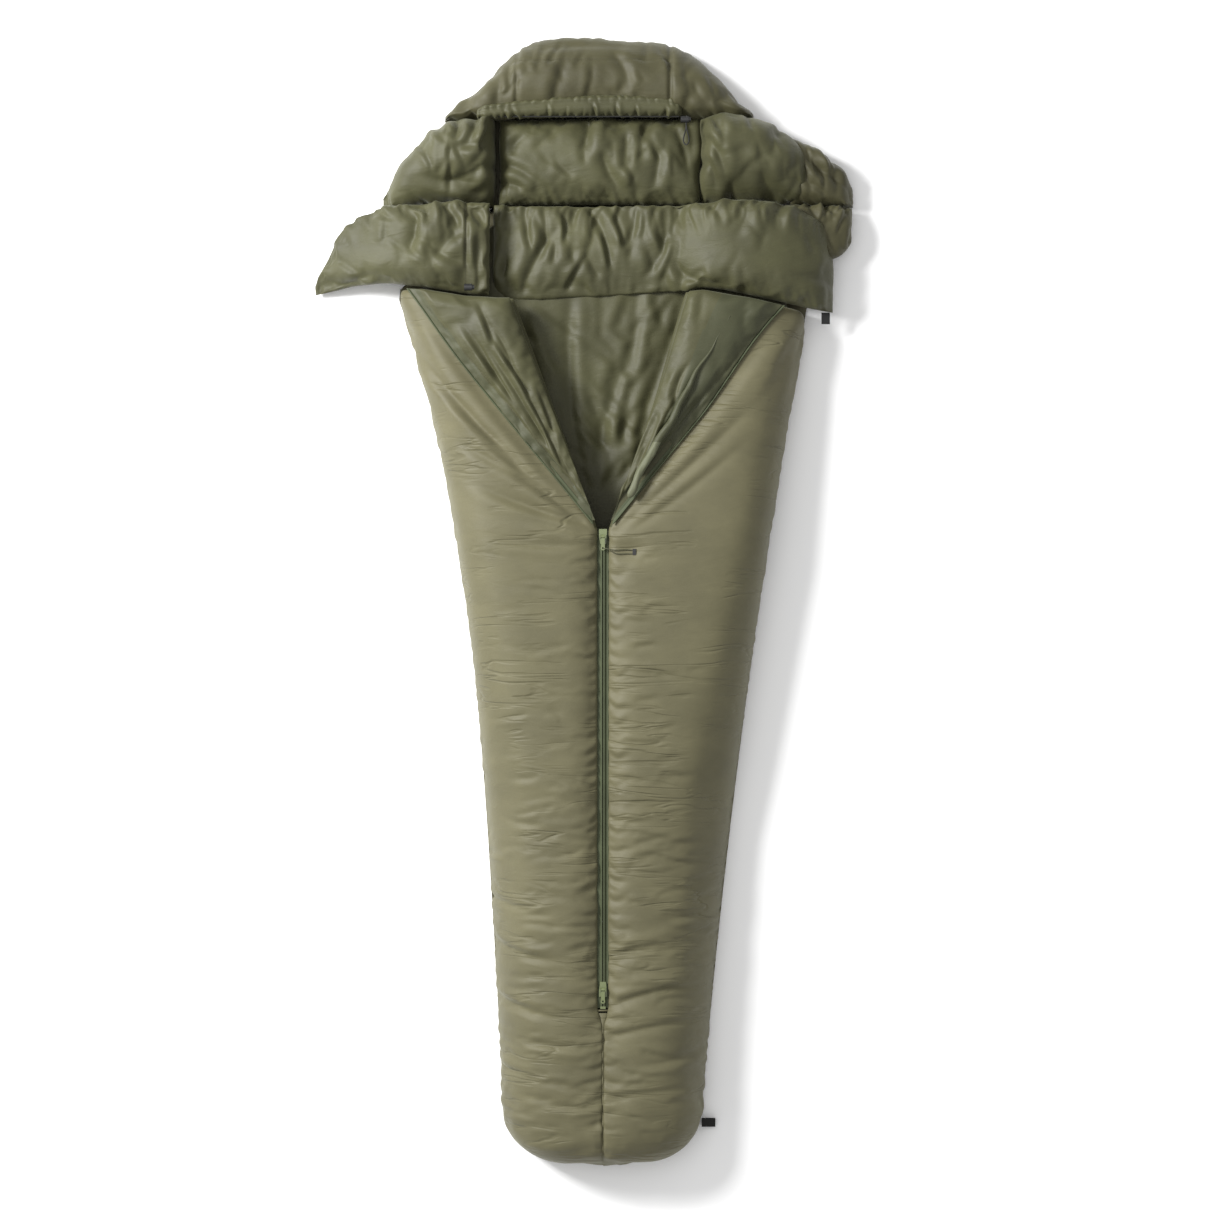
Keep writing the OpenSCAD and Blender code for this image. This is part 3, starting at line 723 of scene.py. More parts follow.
def even_angles(y, left, us):
    """Angles of points spread along the cross-section at y, and their distance from its inner edge."""
    wide = half_width(y, left)
    flat = [dome_angle(y, x, 0.0, left) for x in np.linspace(inner_x(y), 0.93 * wide, 60)]
    angles = np.array(flat + list(np.linspace(flat[-1], math.pi / 2, 30)[1:]))
    points = np.array([dome(y, a, 0.0, left) for a in angles])
    reach = np.concatenate([[0], np.cumsum(np.linalg.norm(np.diff(points, axis=0), axis=1))])
    at = us * reach[-1]
    return np.interp(at, reach, angles), at, reach[-1]


def quilt_sections(left):
    """Grids of points on the outer and the inner surface of a front quilt."""
    _, sign, end_y = hand(left)
    ys = foot_stations(end_y, 0.0052)
    us = np.linspace(0, 1, 50) ** 1.35
    top = np.zeros((len(ys), len(us), 3))
    bottom = top.copy()
    for i, y in enumerate(ys):
        thick = min(THICK, (y - FOOT_Y) * 0.5 + 0.002)
        share = open_share(y)
        turned = float(smoothstep((y - APEX_Y) / 0.05))
        angles, reach, total = even_angles(y, left, us)
        zip_roll = roll(reach, lerp(0.009, 0.017, share) + 0.02 * turned)
        side_roll = roll(total - reach, 0.030)
        end_roll = float(roll(end_y - y, 0.035))
        zip_depth = lerp(0.005, 0.0115, share) + 0.003 * turned
        outer = np.maximum.reduce([zip_depth * zip_roll, 0.003 * side_roll, 0.015 * end_roll + 0 * us])
        sink = np.maximum.reduce([zip_roll, side_roll, end_roll + 0 * us])
        inner = thick + (outer - thick) * sink
        inner_y = y + 0.030 * float(smoothstep((CUT_Y - y) / 0.074)) ** 0.5
        for j, a in enumerate(angles):
            x, z = dome(y, a, outer[j], left)
            top[i, j] = (sign * max(x, 0.0003), y, z)
            x, z = dome(inner_y, a, inner[j], left)
            bottom[i, j] = (sign * max(x, 0.0003), inner_y, z)
    return to_neck(top, left), to_neck(bottom, left)


def freedom(top, left):
    """How freely a front quilt may swell: little along the zip and the pull cord, none under a flap."""
    x, y = np.abs(top[..., 0]), top[..., 1]
    give = 0.35 + 0.65 * smoothstep(x / 0.07)
    past = smoothstep((x - edge_x(y) - 0.003) / 0.035)
    give = np.where(y > APEX_Y, np.minimum(give, past), give)
    if not left:
        give *= 1 - 0.9 * np.exp(-(((x - 0.035) / 0.045) ** 2 + ((y - 0.096) / 0.024) ** 2) ** 2)
    return give


def front_quilt(left):
    """A front quilt: lining at its folded edge, cross folds, gathers along the zip."""
    side, sign, _ = hand(left)
    seed = 3 if left else 8
    top, bottom = quilt_sections(left)
    low = smoothstep((0.05 - top[..., 1]) / 0.9)
    top += normals_of(top) * (field(top, (4.5, 26.0, 4.5), seed) * 0.0016 * low)[..., None]

    def folds(rng):
        lines = list(LEFT_FOLDS if left else RIGHT_FOLDS)
        for x0, x1, y0, y1, count in ((0.015, 0.13, -1.03, -0.30, 60), (0.02, 0.16, -0.30, 0.10, 14),
                                      (0.10, 0.20, -1.00, -0.45, 26)):
            for line in scattered(rng, count, (x0, x1), (y0, y1), (-14, 14), (0.03, 0.10),
                                  (0.0032, 0.0060), (0.0012, 0.0032)):
                lines.append((sign * line[0], line[1], sign * line[2], *line[3:]))
        return lines

    paint = np.zeros((top.shape[0] - 1, top.shape[1] - 1), int)
    paint[:, :2] = top[:-1, :2, 1] > APEX_Y          # the lining rolls over the open edge
    return puffed(f"front_{side}_quilt", top, bottom, [SHELL, LINING], "bag",
                  [f"front_{side}_shell", f"front_{side}_fill", f"front_{side}_lining",
                   f"foot_box_{side}"],
                  tight=[("first_column", 0.8, 0.05), ("last_column", 0.6, 0.05),
                         ("first_row", 0.9, 0.12)],
                  gather=[("first_column", 0.019, 0.050, 0.0036), ("last_column", 0.026, 0.045, 0.0024),
                          ("first_row", 0.013, 0.05, 0.0034)],
                  folds=folds, slack=0.045, cap=0.011, seed=seed, paint=paint,
                  give=freedom(top, left))


# --- back quilt and outer cloth ---------------------------------------------------

def back_half(y, left):
    """Half width of the back quilt, which narrows from the shoulder to the neck."""
    if y <= SHOULDER_Y:
        return half_width(y, left)
    return max(NECK_HALF, lerp(SHOULDER_HALF, NECK_HALF, (y - SHOULDER_Y) / (CREASE_Y - SHOULDER_Y)))


def span_grid(ys, count, inset, left_half, right_half):
    """Plan positions of a panel that runs from its left outline to its right one."""
    us = np.linspace(-1, 1, count)
    rows = []
    for y in ys:
        low, high = left_half(y) - inset, right_half(y) - inset
        rows.append([(u * (low if u < 0 else high), y) for u in us])
    return np.array(rows)


def back_quilt():
    """The inside of the back quilt, seen through the open chest."""
    ys = np.concatenate([np.linspace(-0.998, 0.08, 56), np.linspace(0.087, 0.752, 98)])
    plan = span_grid(ys, 74, 0.040, lambda y: back_half(y, True), lambda y: back_half(y, False))
    sides = roll(1 - abs(np.linspace(-1, 1, 74)), 0.10)[None]
    ends = np.maximum(roll(ys - ys[0], 0.03), roll(ys[-1] - ys, 0.02))[:, None]
    sink = np.maximum(sides + 0 * ends, ends + 0 * sides)
    top = np.concatenate([plan, (LINING_Z - 0.019 * sink)[..., None]], -1)
    bottom = np.concatenate([plan, (0.0032 + 0.0208 * sink)[..., None]], -1)

    def folds(rng):
        lines = []
        for angle, reach, off in ((96, 0.40, -0.02), (108, 0.40, -0.03), (118, 0.36, -0.05),
                                  (82, 0.42, 0.01), (70, 0.40, 0.02), (60, 0.36, 0.04),
                                  (102, 0.22, 0.02), (76, 0.24, -0.02)):
            x0, y0, turn = off, 0.165 + rng.uniform(0, 0.05), math.radians(angle)
            lines.append((x0 + reach * math.cos(turn), y0 + reach * math.sin(turn), x0, y0,
                          rng.uniform(0.008, 0.013), rng.uniform(0.007, 0.012), rng.uniform(-0.02, 0.02)))
        lines += scattered(rng, 40, (-0.20, 0.12), (0.17, 0.54), (95, 150), (0.05, 0.16),
                           (0.004, 0.009), (0.003, 0.007))
        lines += scattered(rng, 26, (0.0, 0.16), (0.22, 0.54), (40, 80), (0.05, 0.14),
                           (0.004, 0.009), (0.003, 0.007))
        return lines

    puffed("back_quilt", top, bottom, [LINING], "bag", ["back_fill", "back_lining"],
           tight=[("last_row", 0.7, 0.08), ("first_column", 0.5, 0.05), ("last_column", 0.5, 0.05)],
           folds=folds, slack=0.05, pressure=3.0, cap=0.010, seed=11)


def back_cloth():
    """Outer cloth of the back, flat on the ground."""
    ys = np.concatenate([foot_stations(0.60, 0.020), np.linspace(0.615, 0.7575, 9)])
    plan = span_grid(ys, 44, 0.004, lambda y: back_half(y, True), lambda y: back_half(y, False))
    plan[..., 0] *= np.clip((ys - FOOT_Y) / 0.004, 0.2, 1)[:, None]
    top = np.concatenate([plan, np.full((*plan.shape[:2], 1), 0.0024)], -1)
    bottom = top.copy()
    bottom[..., 2] = 0.0009 * (1 + field(top, (9, 16, 1), 5))
    top[..., 2] = 0.0026
    piece = fit(pad("back_cloth", top, bottom, [SHELL], smooth=False), "bag", "shell_fabric", "back_shell")


def outline_seam(left):
    """Bound side seam where the front quilt meets the back cloth."""
    side, sign, end_y = hand(left)
    ys = foot_stations(end_y - 0.003, 0.010)[2:]
    path = resample(np.array([(sign * (half_width(y, left) - 0.0045), y, 0.0040) for y in ys]), 260)
    beads = 0.0013 + 0.0003 * field(path, (60, 60, 60), 4 if left else 6)
    fit(tube(f"side_seam_{side}", path, beads[:, None], [SHELL], 8), "bag", "shell_fabric")


# --- turned-back flaps ------------------------------------------------------------

def flap_rise(y, end_y):
    """Thickness of a turned-back flap, which grows from the zip's opening to the neck."""
    share = min(1.0, max(0.0, (y - FLAP_START) / (end_y - FLAP_START)))
    return 0.008 + (FLAP_THICK - 0.008) * share if y > FLAP_START else 0.003 + 0.005 * (y - 0.15) / 0.04


STRIP = 0.024            # width of the facing strip beside the open zip


def flap_grids(left, ys, cols=40):
    """Grids of a turned-back corner: its top rolls up from the fold and thins out at the zip."""
    _, sign, end_y = hand(left)
    top = np.zeros((len(ys), cols, 3))
    bottom = top.copy()
    for i, y in enumerate(ys):
        x0, x1 = fold_x(y) - 0.003, edge_x(y) - 0.0030
        wide, tall = x1 - x0, flap_rise(y, end_y) * (1 - float(roll(end_y - y, 0.03)) * 0.8)
        for j, t in enumerate(np.linspace(0, 1, cols)):
            x = lerp(x0, x1, t)
            ground = dome_z(y, x, left) + 0.0012
            crest = 1 - float(roll(t * wide, min(0.5 * wide, 0.020)))
            facing = float(smoothstep(((1 - t) * wide - 0.3 * STRIP) / STRIP))
            body = 0.16 + 0.84 * facing * (0.72 + 0.28 * float(smoothstep((0.75 - t) / 0.6)))
            top[i, j] = (sign * x, y, ground + 0.0012 + tall * crest * body)
            bottom[i, j] = (sign * x, y, ground)
        top[i, 0, 2] = bottom[i, 0, 2] = dome_z(y, fold_x(y), left) + 0.0012 + 0.35 * flap_rise(y, end_y)
    return to_neck(top, left), to_neck(bottom, left)


def flap(left):
    """A front corner folded back, with its lining up: rolled crest, body, facing strip."""
    side, sign, end_y = hand(left)
    ys = np.linspace(0.152, end_y, 84)
    top, bottom = flap_grids(left, ys)

    def folds(rng):
        lines = []
        for _ in range(16):
            t = rng.uniform(0.10, 0.85)
            y0, y1 = sorted(rng.uniform(0.17, end_y - 0.02, 2))
            y1 = max(y1, y0 + 0.09)
            lines.append((sign * lerp(fold_x(y0), edge_x(y0), t), y0,
                          sign * lerp(fold_x(y1), edge_x(y1), t + rng.uniform(-0.12, 0.12)), y1,
                          rng.uniform(0.0035, 0.0085), rng.uniform(0.0030, 0.0085),
                          rng.uniform(-0.010, 0.010)))
        return lines

    line = (sign * (edge_x(0.17) - STRIP), 0.17, sign * (edge_x(end_y) - STRIP), end_y, 0.0018, 0.0022)
    across = (top[:-1, :-1, 0] * sign - np.array([fold_x(y) for y in ys[:-1]])[:, None])
    wide = np.array([edge_x(y) - fold_x(y) for y in ys[:-1]])[:, None]
    paint = (wide - across < (STRIP if left else 0.62 * wide + 0.01)).astype(int)
    return puffed(f"flap_{side}_pad", top, bottom, [LINING, FACING, LINING], f"{side}_flap_body",
                  [f"flap_{side}_shell", f"flap_{side}_fill", f"flap_{side}_lining"],
                  tight=[("last_column", 0.8, 0.03), ("first_column", 0.5, 0.03),
                         ("last_row", 0.7, 0.05)],
                  gather=[("last_column", 0.018, 0.030, 0.0014), ("first_column", 0.024, 0.030, 0.0020)],
                  folds=folds, grooves=[line], slack=0.06, pressure=3.0, cap=0.008,
                  seed=21 if left else 26, paint=paint)


def open_tape(left):
    """Zip tape along an open edge, and its coil."""
    side, sign, end_y = hand(left)
    ys = np.linspace(0.146, end_y, 100)
    top = np.zeros((100, 7, 3))
    for i, y in enumerate(ys):
        x1 = edge_x(y) + 0.0014
        for j, t in enumerate(np.linspace(0, 1, 7)):
            x = lerp(x1 - min(0.014, x1 - fold_x(y) - 0.001), x1, t)
            hump = 0.0042 * math.exp(-((x - x1 + 0.0022) / 0.0022) ** 2)
            top[i, j] = (sign * x, y, dome_z(y, x, left) + 0.0022 + hump)
    top = to_neck(top, left)
    bottom = top - np.array([0, 0, 0.0009])
    fit(pad(f"flap_{side}_zip_tape", top, bottom, [TAPE]), f"{side}_flap_body", "zip_tape",
        f"flap_{side}_tape")
    path = [(sign * (edge_x(y) - 0.0008), y, dome_z(y, edge_x(y), left) + 0.0034) for y in ys[2:-1]]
    fit(coil(f"flap_{side}_zip_coil", to_neck(np.array(path), left), sign), f"{side}_flap_body",
        "zip_coil", f"flap_{side}_coil")


def coil(name, path, sign, pitch=0.0021, radius=0.00105, wire=0.00042):
    """A zip's coil: a wire wound in a helix along a path."""
    path = resample(np.array(path), 400)
    length = np.linalg.norm(np.diff(path, axis=0), axis=1).sum()
    count = int(length / pitch) * 7
    line = resample(path, count)
    tangent = (path[-1] - path[0]) / np.linalg.norm(path[-1] - path[0])
    out = np.cross(tangent, (0, 0, 1.0)) * sign
    turn = np.arange(count) * 2 * math.pi / 7
    line = line + out * (1.15 * radius * np.cos(turn))[:, None]
    line[:, 2] += radius * np.sin(turn)
    return tube(name, line, wire, [COIL], 5)


def draft_tube():
    """The stuffed tube beside the right edge of the zip."""
    ys = np.linspace(0.196, 0.538, 110)
    xs = [lerp(fold_x(y), edge_x(y), 0.42) for y in ys]
    path = np.array([(x, y, dome_z(y, x, False) + 0.0048 + flap_rise(y, RIGHT_END) + 0.0050)
                     for x, y in zip(xs, ys)])
    angle = np.arange(18) * 2 * math.pi / 18
    ends = np.sqrt(np.clip(1 - (1 - (ys - ys[0]) / 0.010).clip(0) ** 2, 0.02, 1))
    taper = smoothstep((ys[-1] - ys) / 0.20)
    around = np.stack([np.cos(angle), np.sin(angle)], -1)
    place = np.stack([np.repeat(ys[:, None] * 60, 18, 1), np.repeat(around[None, :, 0], 110, 0),
                      np.repeat(around[None, :, 1], 110, 0)], -1)
    wrinkle = 0.0013 * field(place, (1, 1.2, 1.2), 33)
    wide = (0.0070 + wrinkle) * (ends * (0.08 + 0.92 * taper))[:, None]
    path[:, 2] -= 0.0075 * (1 - taper)
    path[:, 0] += 0.0022 * np.sin(ys * 41) + 0.0016 * np.sin(ys * 97)
    piece = fit(subdivided(tube("draft_tube_roll", path, wide, [DRAFT, FACING], 18)), "right_flap_body",
                "lining_fabric", "draft_tube")
    for face in piece.data.polygons:
        face.material_index = int(face.center.y > 0.300)


# --- closed zip -------------------------------------------------------------------

def closed_tape(sign):
    """Half of the closed zip's tape, humped over the coil below it."""
    side = "left" if sign < 0 else "right"
    ys = np.linspace(ZIP_FOOT_Y, APEX_Y - 0.001, 150)
    xs = np.array([0.0005, 0.0012, 0.0024, 0.0036, 0.0046, 0.0058, 0.0076, 0.0096, 0.0112])
    zs = np.array([0.1228, 0.1240, 0.1243, 0.1240, 0.1224, 0.1212, 0.1210, 0.1213, 0.1216])
    top = np.zeros((len(ys), len(xs), 3))
    top[..., 0] = sign * xs[None]
    top[..., 1] = ys[:, None]
    top[..., 2] = zs[None] + 0.0003 * field(top, (40, 40, 1), 12 + sign)
    bottom = top - np.array([0, 0, 0.0008])
    fit(pad(f"zip_tape_{side}_cloth", top, bottom, [TAPE]), "bag", "zip_tape", f"zip_tape_{side}")
    path = [(sign * 0.0026, y, 0.1219) for y in np.linspace(ZIP_FOOT_Y + 0.006, APEX_Y, 120)]
    fit(coil(f"zip_coil_{side}_wire", path, sign), "bag", "zip_coil", f"zip_coil_{side}")


def foot_seam():
    """Strip that closes the centre seam between the end of the zip and the end of the foot."""
    ys = foot_stations(ZIP_FOOT_Y - 0.004, 0.008)[1:]
    top = np.zeros((len(ys), 7, 3))
    for i, y in enumerate(ys):
        for j, t in enumerate(np.linspace(-1, 1, 7)):
            sunk = lerp(0.0045, 0.0110, open_share(y)) + 0.0012 * t * t
            top[i, j] = (t * (inner_x(y) + 0.0016), y, max(0.004, dome_z(y, 0.0, False) - sunk))
    bottom = top - np.array([0, 0, 0.0016])
    bottom[..., 1] += 0.0016
    fit(pad("foot_seam_strip", top, bottom, [SHELL]), "bag", "shell_fabric")


def foot_end():
    """Folded-in end of the foot seam, which fills the gap under the rounded foot."""
    spread = np.linspace(-1, 1, 31)
    path = [(0.036 * u, FOOT_Y + 0.0084, 0.0160) for u in spread]
    angle = np.arange(16) * 2 * math.pi / 16
    deep, tall = 0.0074, 0.0150
    oval = deep * tall / np.hypot(tall * np.cos(angle), deep * np.sin(angle))
    ends = np.clip(1 - np.abs(spread) ** 3, 0.02, 1) ** (1 / 3)
    piece = tube("foot_end_fold", path, ends[:, None] * oval[None], [SHELL], 16)
    fit(subdivided(piece), "bag", "shell_fabric")


def garage():
    """Fabric cover over the lower end of the zip."""
    plan = np.array([[(lerp(-0.0112, 0.0112, u), lerp(-0.7700, -0.7652, v)) for u in np.linspace(0, 1, 9)]
                     for v in np.linspace(0, 1, 5)])
    bulge = np.outer(1 - abs(np.linspace(-1, 1, 5)) ** 3, 1 - abs(np.linspace(-1, 1, 9)) ** 3)
    top = np.concatenate([plan, (0.1215 + 0.0045 * bulge)[..., None]], -1)
    bottom = np.concatenate([plan, (0.1215 - 0.0015 * bulge)[..., None]], -1)
    fit(pad("zip_garage_cloth", top, bottom, [SHELL]), "bag", "shell_fabric", "zip_garage")


def draft_flap():
    """The padded strip behind the closed zip."""
    ys, us = np.linspace(-0.774, 0.134, 140), np.linspace(-1, 1, 13)
    plan = np.array([[(-0.002 + 0.028 * u, y) for u in us] for y in ys])
    ends = np.minimum(1, np.minimum(ys + 0.776, 0.136 - ys) / 0.01)
    bulge = np.maximum(0, 1 - abs(us) ** 3)[None] * ends[:, None]
    top = np.concatenate([plan, (0.0950 + 0.0040 * bulge)[..., None]], -1)
    bottom = np.concatenate([plan, (0.0950 - 0.0040 * bulge)[..., None]], -1)
    puffed("zip_draft_flap_pad", top, bottom, [LINING], "bag", ["zip_draft_flap"],
           gather=[("first_column", 0.02, 0.02, 0.001), ("last_column", 0.02, 0.02, 0.001)],
           slack=0, seed=31)


# --- neck band, wings and hood ----------------------------------------------------

HOOD_BEND = ((0, 0.757, 0.04), (0, 0.805, 0.04))


def rounded_ends(x, reach):
    """0 at both ends of x and 1 from reach inwards, along a rounded curve."""
    near = np.minimum(x - x[0], x[-1] - x) / reach
    return (1 - (1 - near.clip(0, 1)) ** 2.4) ** (1 / 2.4)


def pillow_grid(sections, rows, cols, power, end_round):
    """Grids of a pillow with sections (x, low y, high y, bottom z, top z)."""
    table = along(sections, rows)
    us = 0.5 - 0.5 * np.cos(np.linspace(0, math.pi, cols))
    us = 0.55 * us + 0.45 * np.linspace(0, 1, cols)
    x, low, high, base, peak = (table[:, k:k + 1] for k in range(5))
    bulge = (1 - np.abs(2 * us - 1) ** power).clip(0)[None] ** (1 / power)
    mid, half = (base + peak) / 2, (peak - base) / 2 * rounded_ends(x, end_round)
    ys = low + (high - low) * us[None]
    xs = x + 0 * ys
    return (np.stack([xs, ys, mid + half * bulge], -1), np.stack([xs, ys, mid - half * bulge], -1))


NECK = [(-0.209, 0.574, 0.756, 0.0436, 0.064), (-0.100, 0.577, 0.753, 0.0436, 0.076),
        (0.040, 0.583, 0.754, 0.0440, 0.076), (0.140, 0.592, 0.755, 0.050, 0.084),
        (0.190, 0.596, 0.757, 0.062, 0.116), (0.265, 0.582, 0.764, 0.062, 0.126),
        (0.335, 0.567, 0.756, 0.054, 0.118), (0.385, 0.558, 0.738, 0.042, 0.102),
        (0.425, 0.552, 0.718, 0.026, 0.080), (0.440, 0.552, 0.680, 0.016, 0.054)]
LEFT_WING = [(-0.553, 0.587, 0.602, 0.006, 0.020), (-0.500, 0.596, 0.700, 0.014, 0.048),
             (-0.470, 0.602, 0.732, 0.024, 0.070), (-0.416, 0.605, 0.752, 0.044, 0.098),
             (-0.340, 0.597, 0.756, 0.058, 0.116), (-0.256, 0.582, 0.757, 0.066, 0.122),
             (-0.212, 0.578, 0.756, 0.072, 0.124)]


def neck_band():
    """The band across the neck, which runs on into the right wing."""
    top, bottom = pillow_grid(NECK, 150, 38, 2.7, 0.030)

    def folds(rng):
        lines = [(-0.150, 0.600, -0.060, 0.735, 0.010, 0.009, 0.01),
                 (-0.02, 0.745, 0.02, 0.60, 0.009, 0.009, 0.01),
                 (0.060, 0.750, 0.030, 0.66, 0.007, 0.008, 0.01),
                 (0.12, 0.70, 0.07, 0.61, 0.009, 0.008, 0.01),
                 (0.150, 0.755, 0.135, 0.65, 0.010, 0.009, -0.01),
                 (0.19, 0.60, 0.115, 0.66, 0.008, 0.007, 0.008),
                 (-0.19, 0.62, -0.16, 0.74, 0.008, 0.007, 0.006),
                 (0.27, 0.757, 0.24, 0.68, 0.012, 0.009, 0.01),
                 (0.345, 0.757, 0.33, 0.69, 0.011, 0.009, -0.01),
                 (0.20, 0.755, 0.23, 0.70, 0.009, 0.007, 0.004),
                 (0.44, 0.60, 0.33, 0.61, 0.009, 0.004, -0.01)]
        lines += scattered(rng, 34, (-0.2, 0.17), (0.59, 0.72), (50, 120), (0.04, 0.11), (0.004, 0.009),
                           (0.003, 0.007))
        return lines + scattered(rng, 8, (0.22, 0.42), (0.58, 0.72), (20, 140), (0.04, 0.08),
                                 (0.004, 0.008), (0.001, 0.003))

    under_flaps = smoothstep((0.622 - top[..., 1]) / 0.036) * smoothstep((0.185 - top[..., 0]) / 0.05)
    top[..., 2] -= 0.008 * under_flaps
    puffed("neck_band_right", top, bottom, [LINING], ("bag", "right_wing_body"),
           ["neck_baffle", "wing_right_pad"],
           tight=[("first_column", 0.9, 0.04), ("last_column", 0.9, 0.04)],
           gather=[("first_column", 0.020, 0.045, 0.0026), ("last_column", 0.015, 0.055, 0.0044)],
           folds=folds, slack=0.10, cap=0.012, seed=41, soft=0.004, give=1 - 0.9 * under_flaps,
           across=((0.125, 0.65, 0.1), (0.205, 0.65, 0.1)))


def wing_left():
    """The left wing, held down under the cord lock."""
    top, bottom = pillow_grid(LEFT_WING, 84, 40, 2.6, 0.034)

    def folds(rng):
        lines = [(-0.355, 0.735, -0.385, 0.640, 0.013, 0.014, 0.012),
                 (-0.345, 0.760, -0.330, 0.690, 0.010, 0.009, 0.008),
                 (-0.262, 0.640, -0.345, 0.700, 0.009, 0.007, 0.012),
                 (-0.262, 0.70, -0.33, 0.62, 0.009, 0.006, -0.01),
                 (-0.300, 0.752, -0.270, 0.680, 0.009, 0.008, 0.01),
                 (-0.500, 0.598, -0.400, 0.625, 0.009, 0.004, 0.006),
                 (-0.235, 0.590, -0.228, 0.74, 0.007, 0.006, 0.004),
                 (-0.245, 0.745, -0.215, 0.690, 0.008, 0.008, 0.004)]
        return lines + scattered(rng, 18, (-0.48, -0.26), (0.60, 0.73), (60, 160), (0.04, 0.09),
                                 (0.004, 0.009), (0.0015, 0.004))

    across, along_lock = (top[..., 0] + 0.253) / 0.026, (top[..., 1] - 0.605) / 0.05
    give = 1 - 0.97 * np.exp(-(across ** 2 + along_lock ** 2) ** 2)
    top[..., 2] -= 0.007 * (1 - give)
    return puffed("neck_wing_left", top, bottom, [LINING], "left_wing_body",
                  ["wing_left_pad"],
                  tight=[("last_row", 0.9, 0.05), ("first_column", 0.7, 0.04),
                         ("last_column", 0.9, 0.04)],
                  gather=[("last_row", 0.018, 0.03, 0.003), ("last_column", 0.016, 0.05, 0.004),
                          ("first_column", 0.024, 0.035, 0.002)],
                  folds=folds, grooves=[(-0.256, 0.575, -0.256, 0.770, 0.0028, 0.010)],
                  slack=0.10, cap=0.016, seed=52, soft=0.005, give=give)


def outer_sides():
    """Outer cloth of the hood's right side and of the right wing's end, seen past the lining."""
    sections = [(0.345, 0.680, 0.7565, 0.012, 0.078), (0.400, 0.665, 0.7565, 0.012, 0.078),
                (0.440, 0.652, 0.7565, 0.010, 0.070), (0.465, 0.668, 0.7555, 0.010, 0.060),
                (0.477, 0.690, 0.752, 0.014, 0.044)]
    top, bottom = pillow_grid(sections, 46, 34, 2.6, 0.014)

    def folds(rng):
        return scattered(rng, 16, (0.40, 0.47), (0.66, 0.74), (40, 140), (0.03, 0.07), (0.003, 0.006),
                         (0.002, 0.005))

    puffed("wing_right_outer", top, bottom, [BRIM_CLOTH], "right_wing_body",
           ["wing_right_pad"],
           gather=[("last_column", 0.014, 0.04, 0.004), ("first_column", 0.018, 0.03, 0.003)],
           folds=folds, slack=0.08, cap=0.010, seed=58, soft=0.003)
    sections = [(0.352, 0.886, 0.062), (0.395, 0.872, 0.078), (0.430, 0.850, 0.070),
                (0.460, 0.822, 0.054), (0.480, 0.790, 0.028)]
    top, bottom = arch_grid(sections, side_path, 40, 40, 0.018)

    def side_folds(rng):
        lines = [(0.375, 0.89, 0.46, 0.82, 0.006, 0.006, 0.01),
                 (0.385, 0.86, 0.47, 0.79, 0.007, 0.007, -0.01),
                 (0.40, 0.83, 0.475, 0.77, 0.006, 0.006, 0.01),
                 (0.43, 0.85, 0.44, 0.76, 0.006, 0.006, 0.01)]
        return lines + scattered(rng, 14, (0.39, 0.46), (0.77, 0.86), (100, 160), (0.03, 0.08),
                                 (0.003, 0.006), (0.002, 0.005))

    puffed("hood_right_outer", top, bottom, [BRIM_CLOTH], ("bag", "hood_body"),
           ["hood_side_right"],
           gather=[("first_column", 0.014, 0.05, 0.004), ("last_column", 0.014, 0.03, 0.003)],
           folds=side_folds, slack=0.08, cap=0.010, seed=59, soft=0.003, across=HOOD_BEND)


def hood_back():
    """The back of the hood, between its two sides."""
    top, bottom = pillow_grid([(-0.200, 0.7570, 0.922, 0.0036, 0.058),
                               (-0.01, 0.7570, 0.924, 0.0036, 0.072),
                               (0.185, 0.7570, 0.922, 0.0036, 0.064)], 80, 40, 3.0, 0.025)

    def folds(rng):
        lines = [(-0.03, 0.920, -0.060, 0.83, 0.012, 0.012, 0.010),
                 (0.00, 0.850, 0.050, 0.765, 0.011, 0.012, -0.008),
                 (0.045, 0.89, 0.02, 0.79, 0.009, 0.009, 0.01),
                 (0.09, 0.915, 0.075, 0.82, 0.010, 0.010, -0.01),
                 (-0.20, 0.80, -0.13, 0.765, 0.008, 0.008, 0.008),
                 (-0.19, 0.835, -0.10, 0.77, 0.008, 0.006, 0.008),
                 (0.105, 0.86, 0.085, 0.765, 0.010, 0.010, 0.008),
                 (0.14, 0.90, 0.165, 0.78, 0.009, 0.009, 0.008),
                 (0.165, 0.915, 0.17, 0.80, 0.009, 0.010, 0.004)]
        return lines + scattered(rng, 24, (-0.19, 0.16), (0.77, 0.90), (40, 140), (0.04, 0.10),
                                 (0.004, 0.008), (0.002, 0.005))

    puffed("hood_back_pad", top, bottom, [LINING], ("bag", "hood_body"),
           ["hood_back_fill", "hood_back_lining"], across=HOOD_BEND,
           tight=[("first_column", 0.9, 0.04), ("last_column", 0.9, 0.05)],
           gather=[("first_column", 0.013, 0.045, 0.0040), ("last_column", 0.015, 0.05, 0.0036)],
           folds=folds, slack=0.10, cap=0.014, seed=61, soft=0.004)


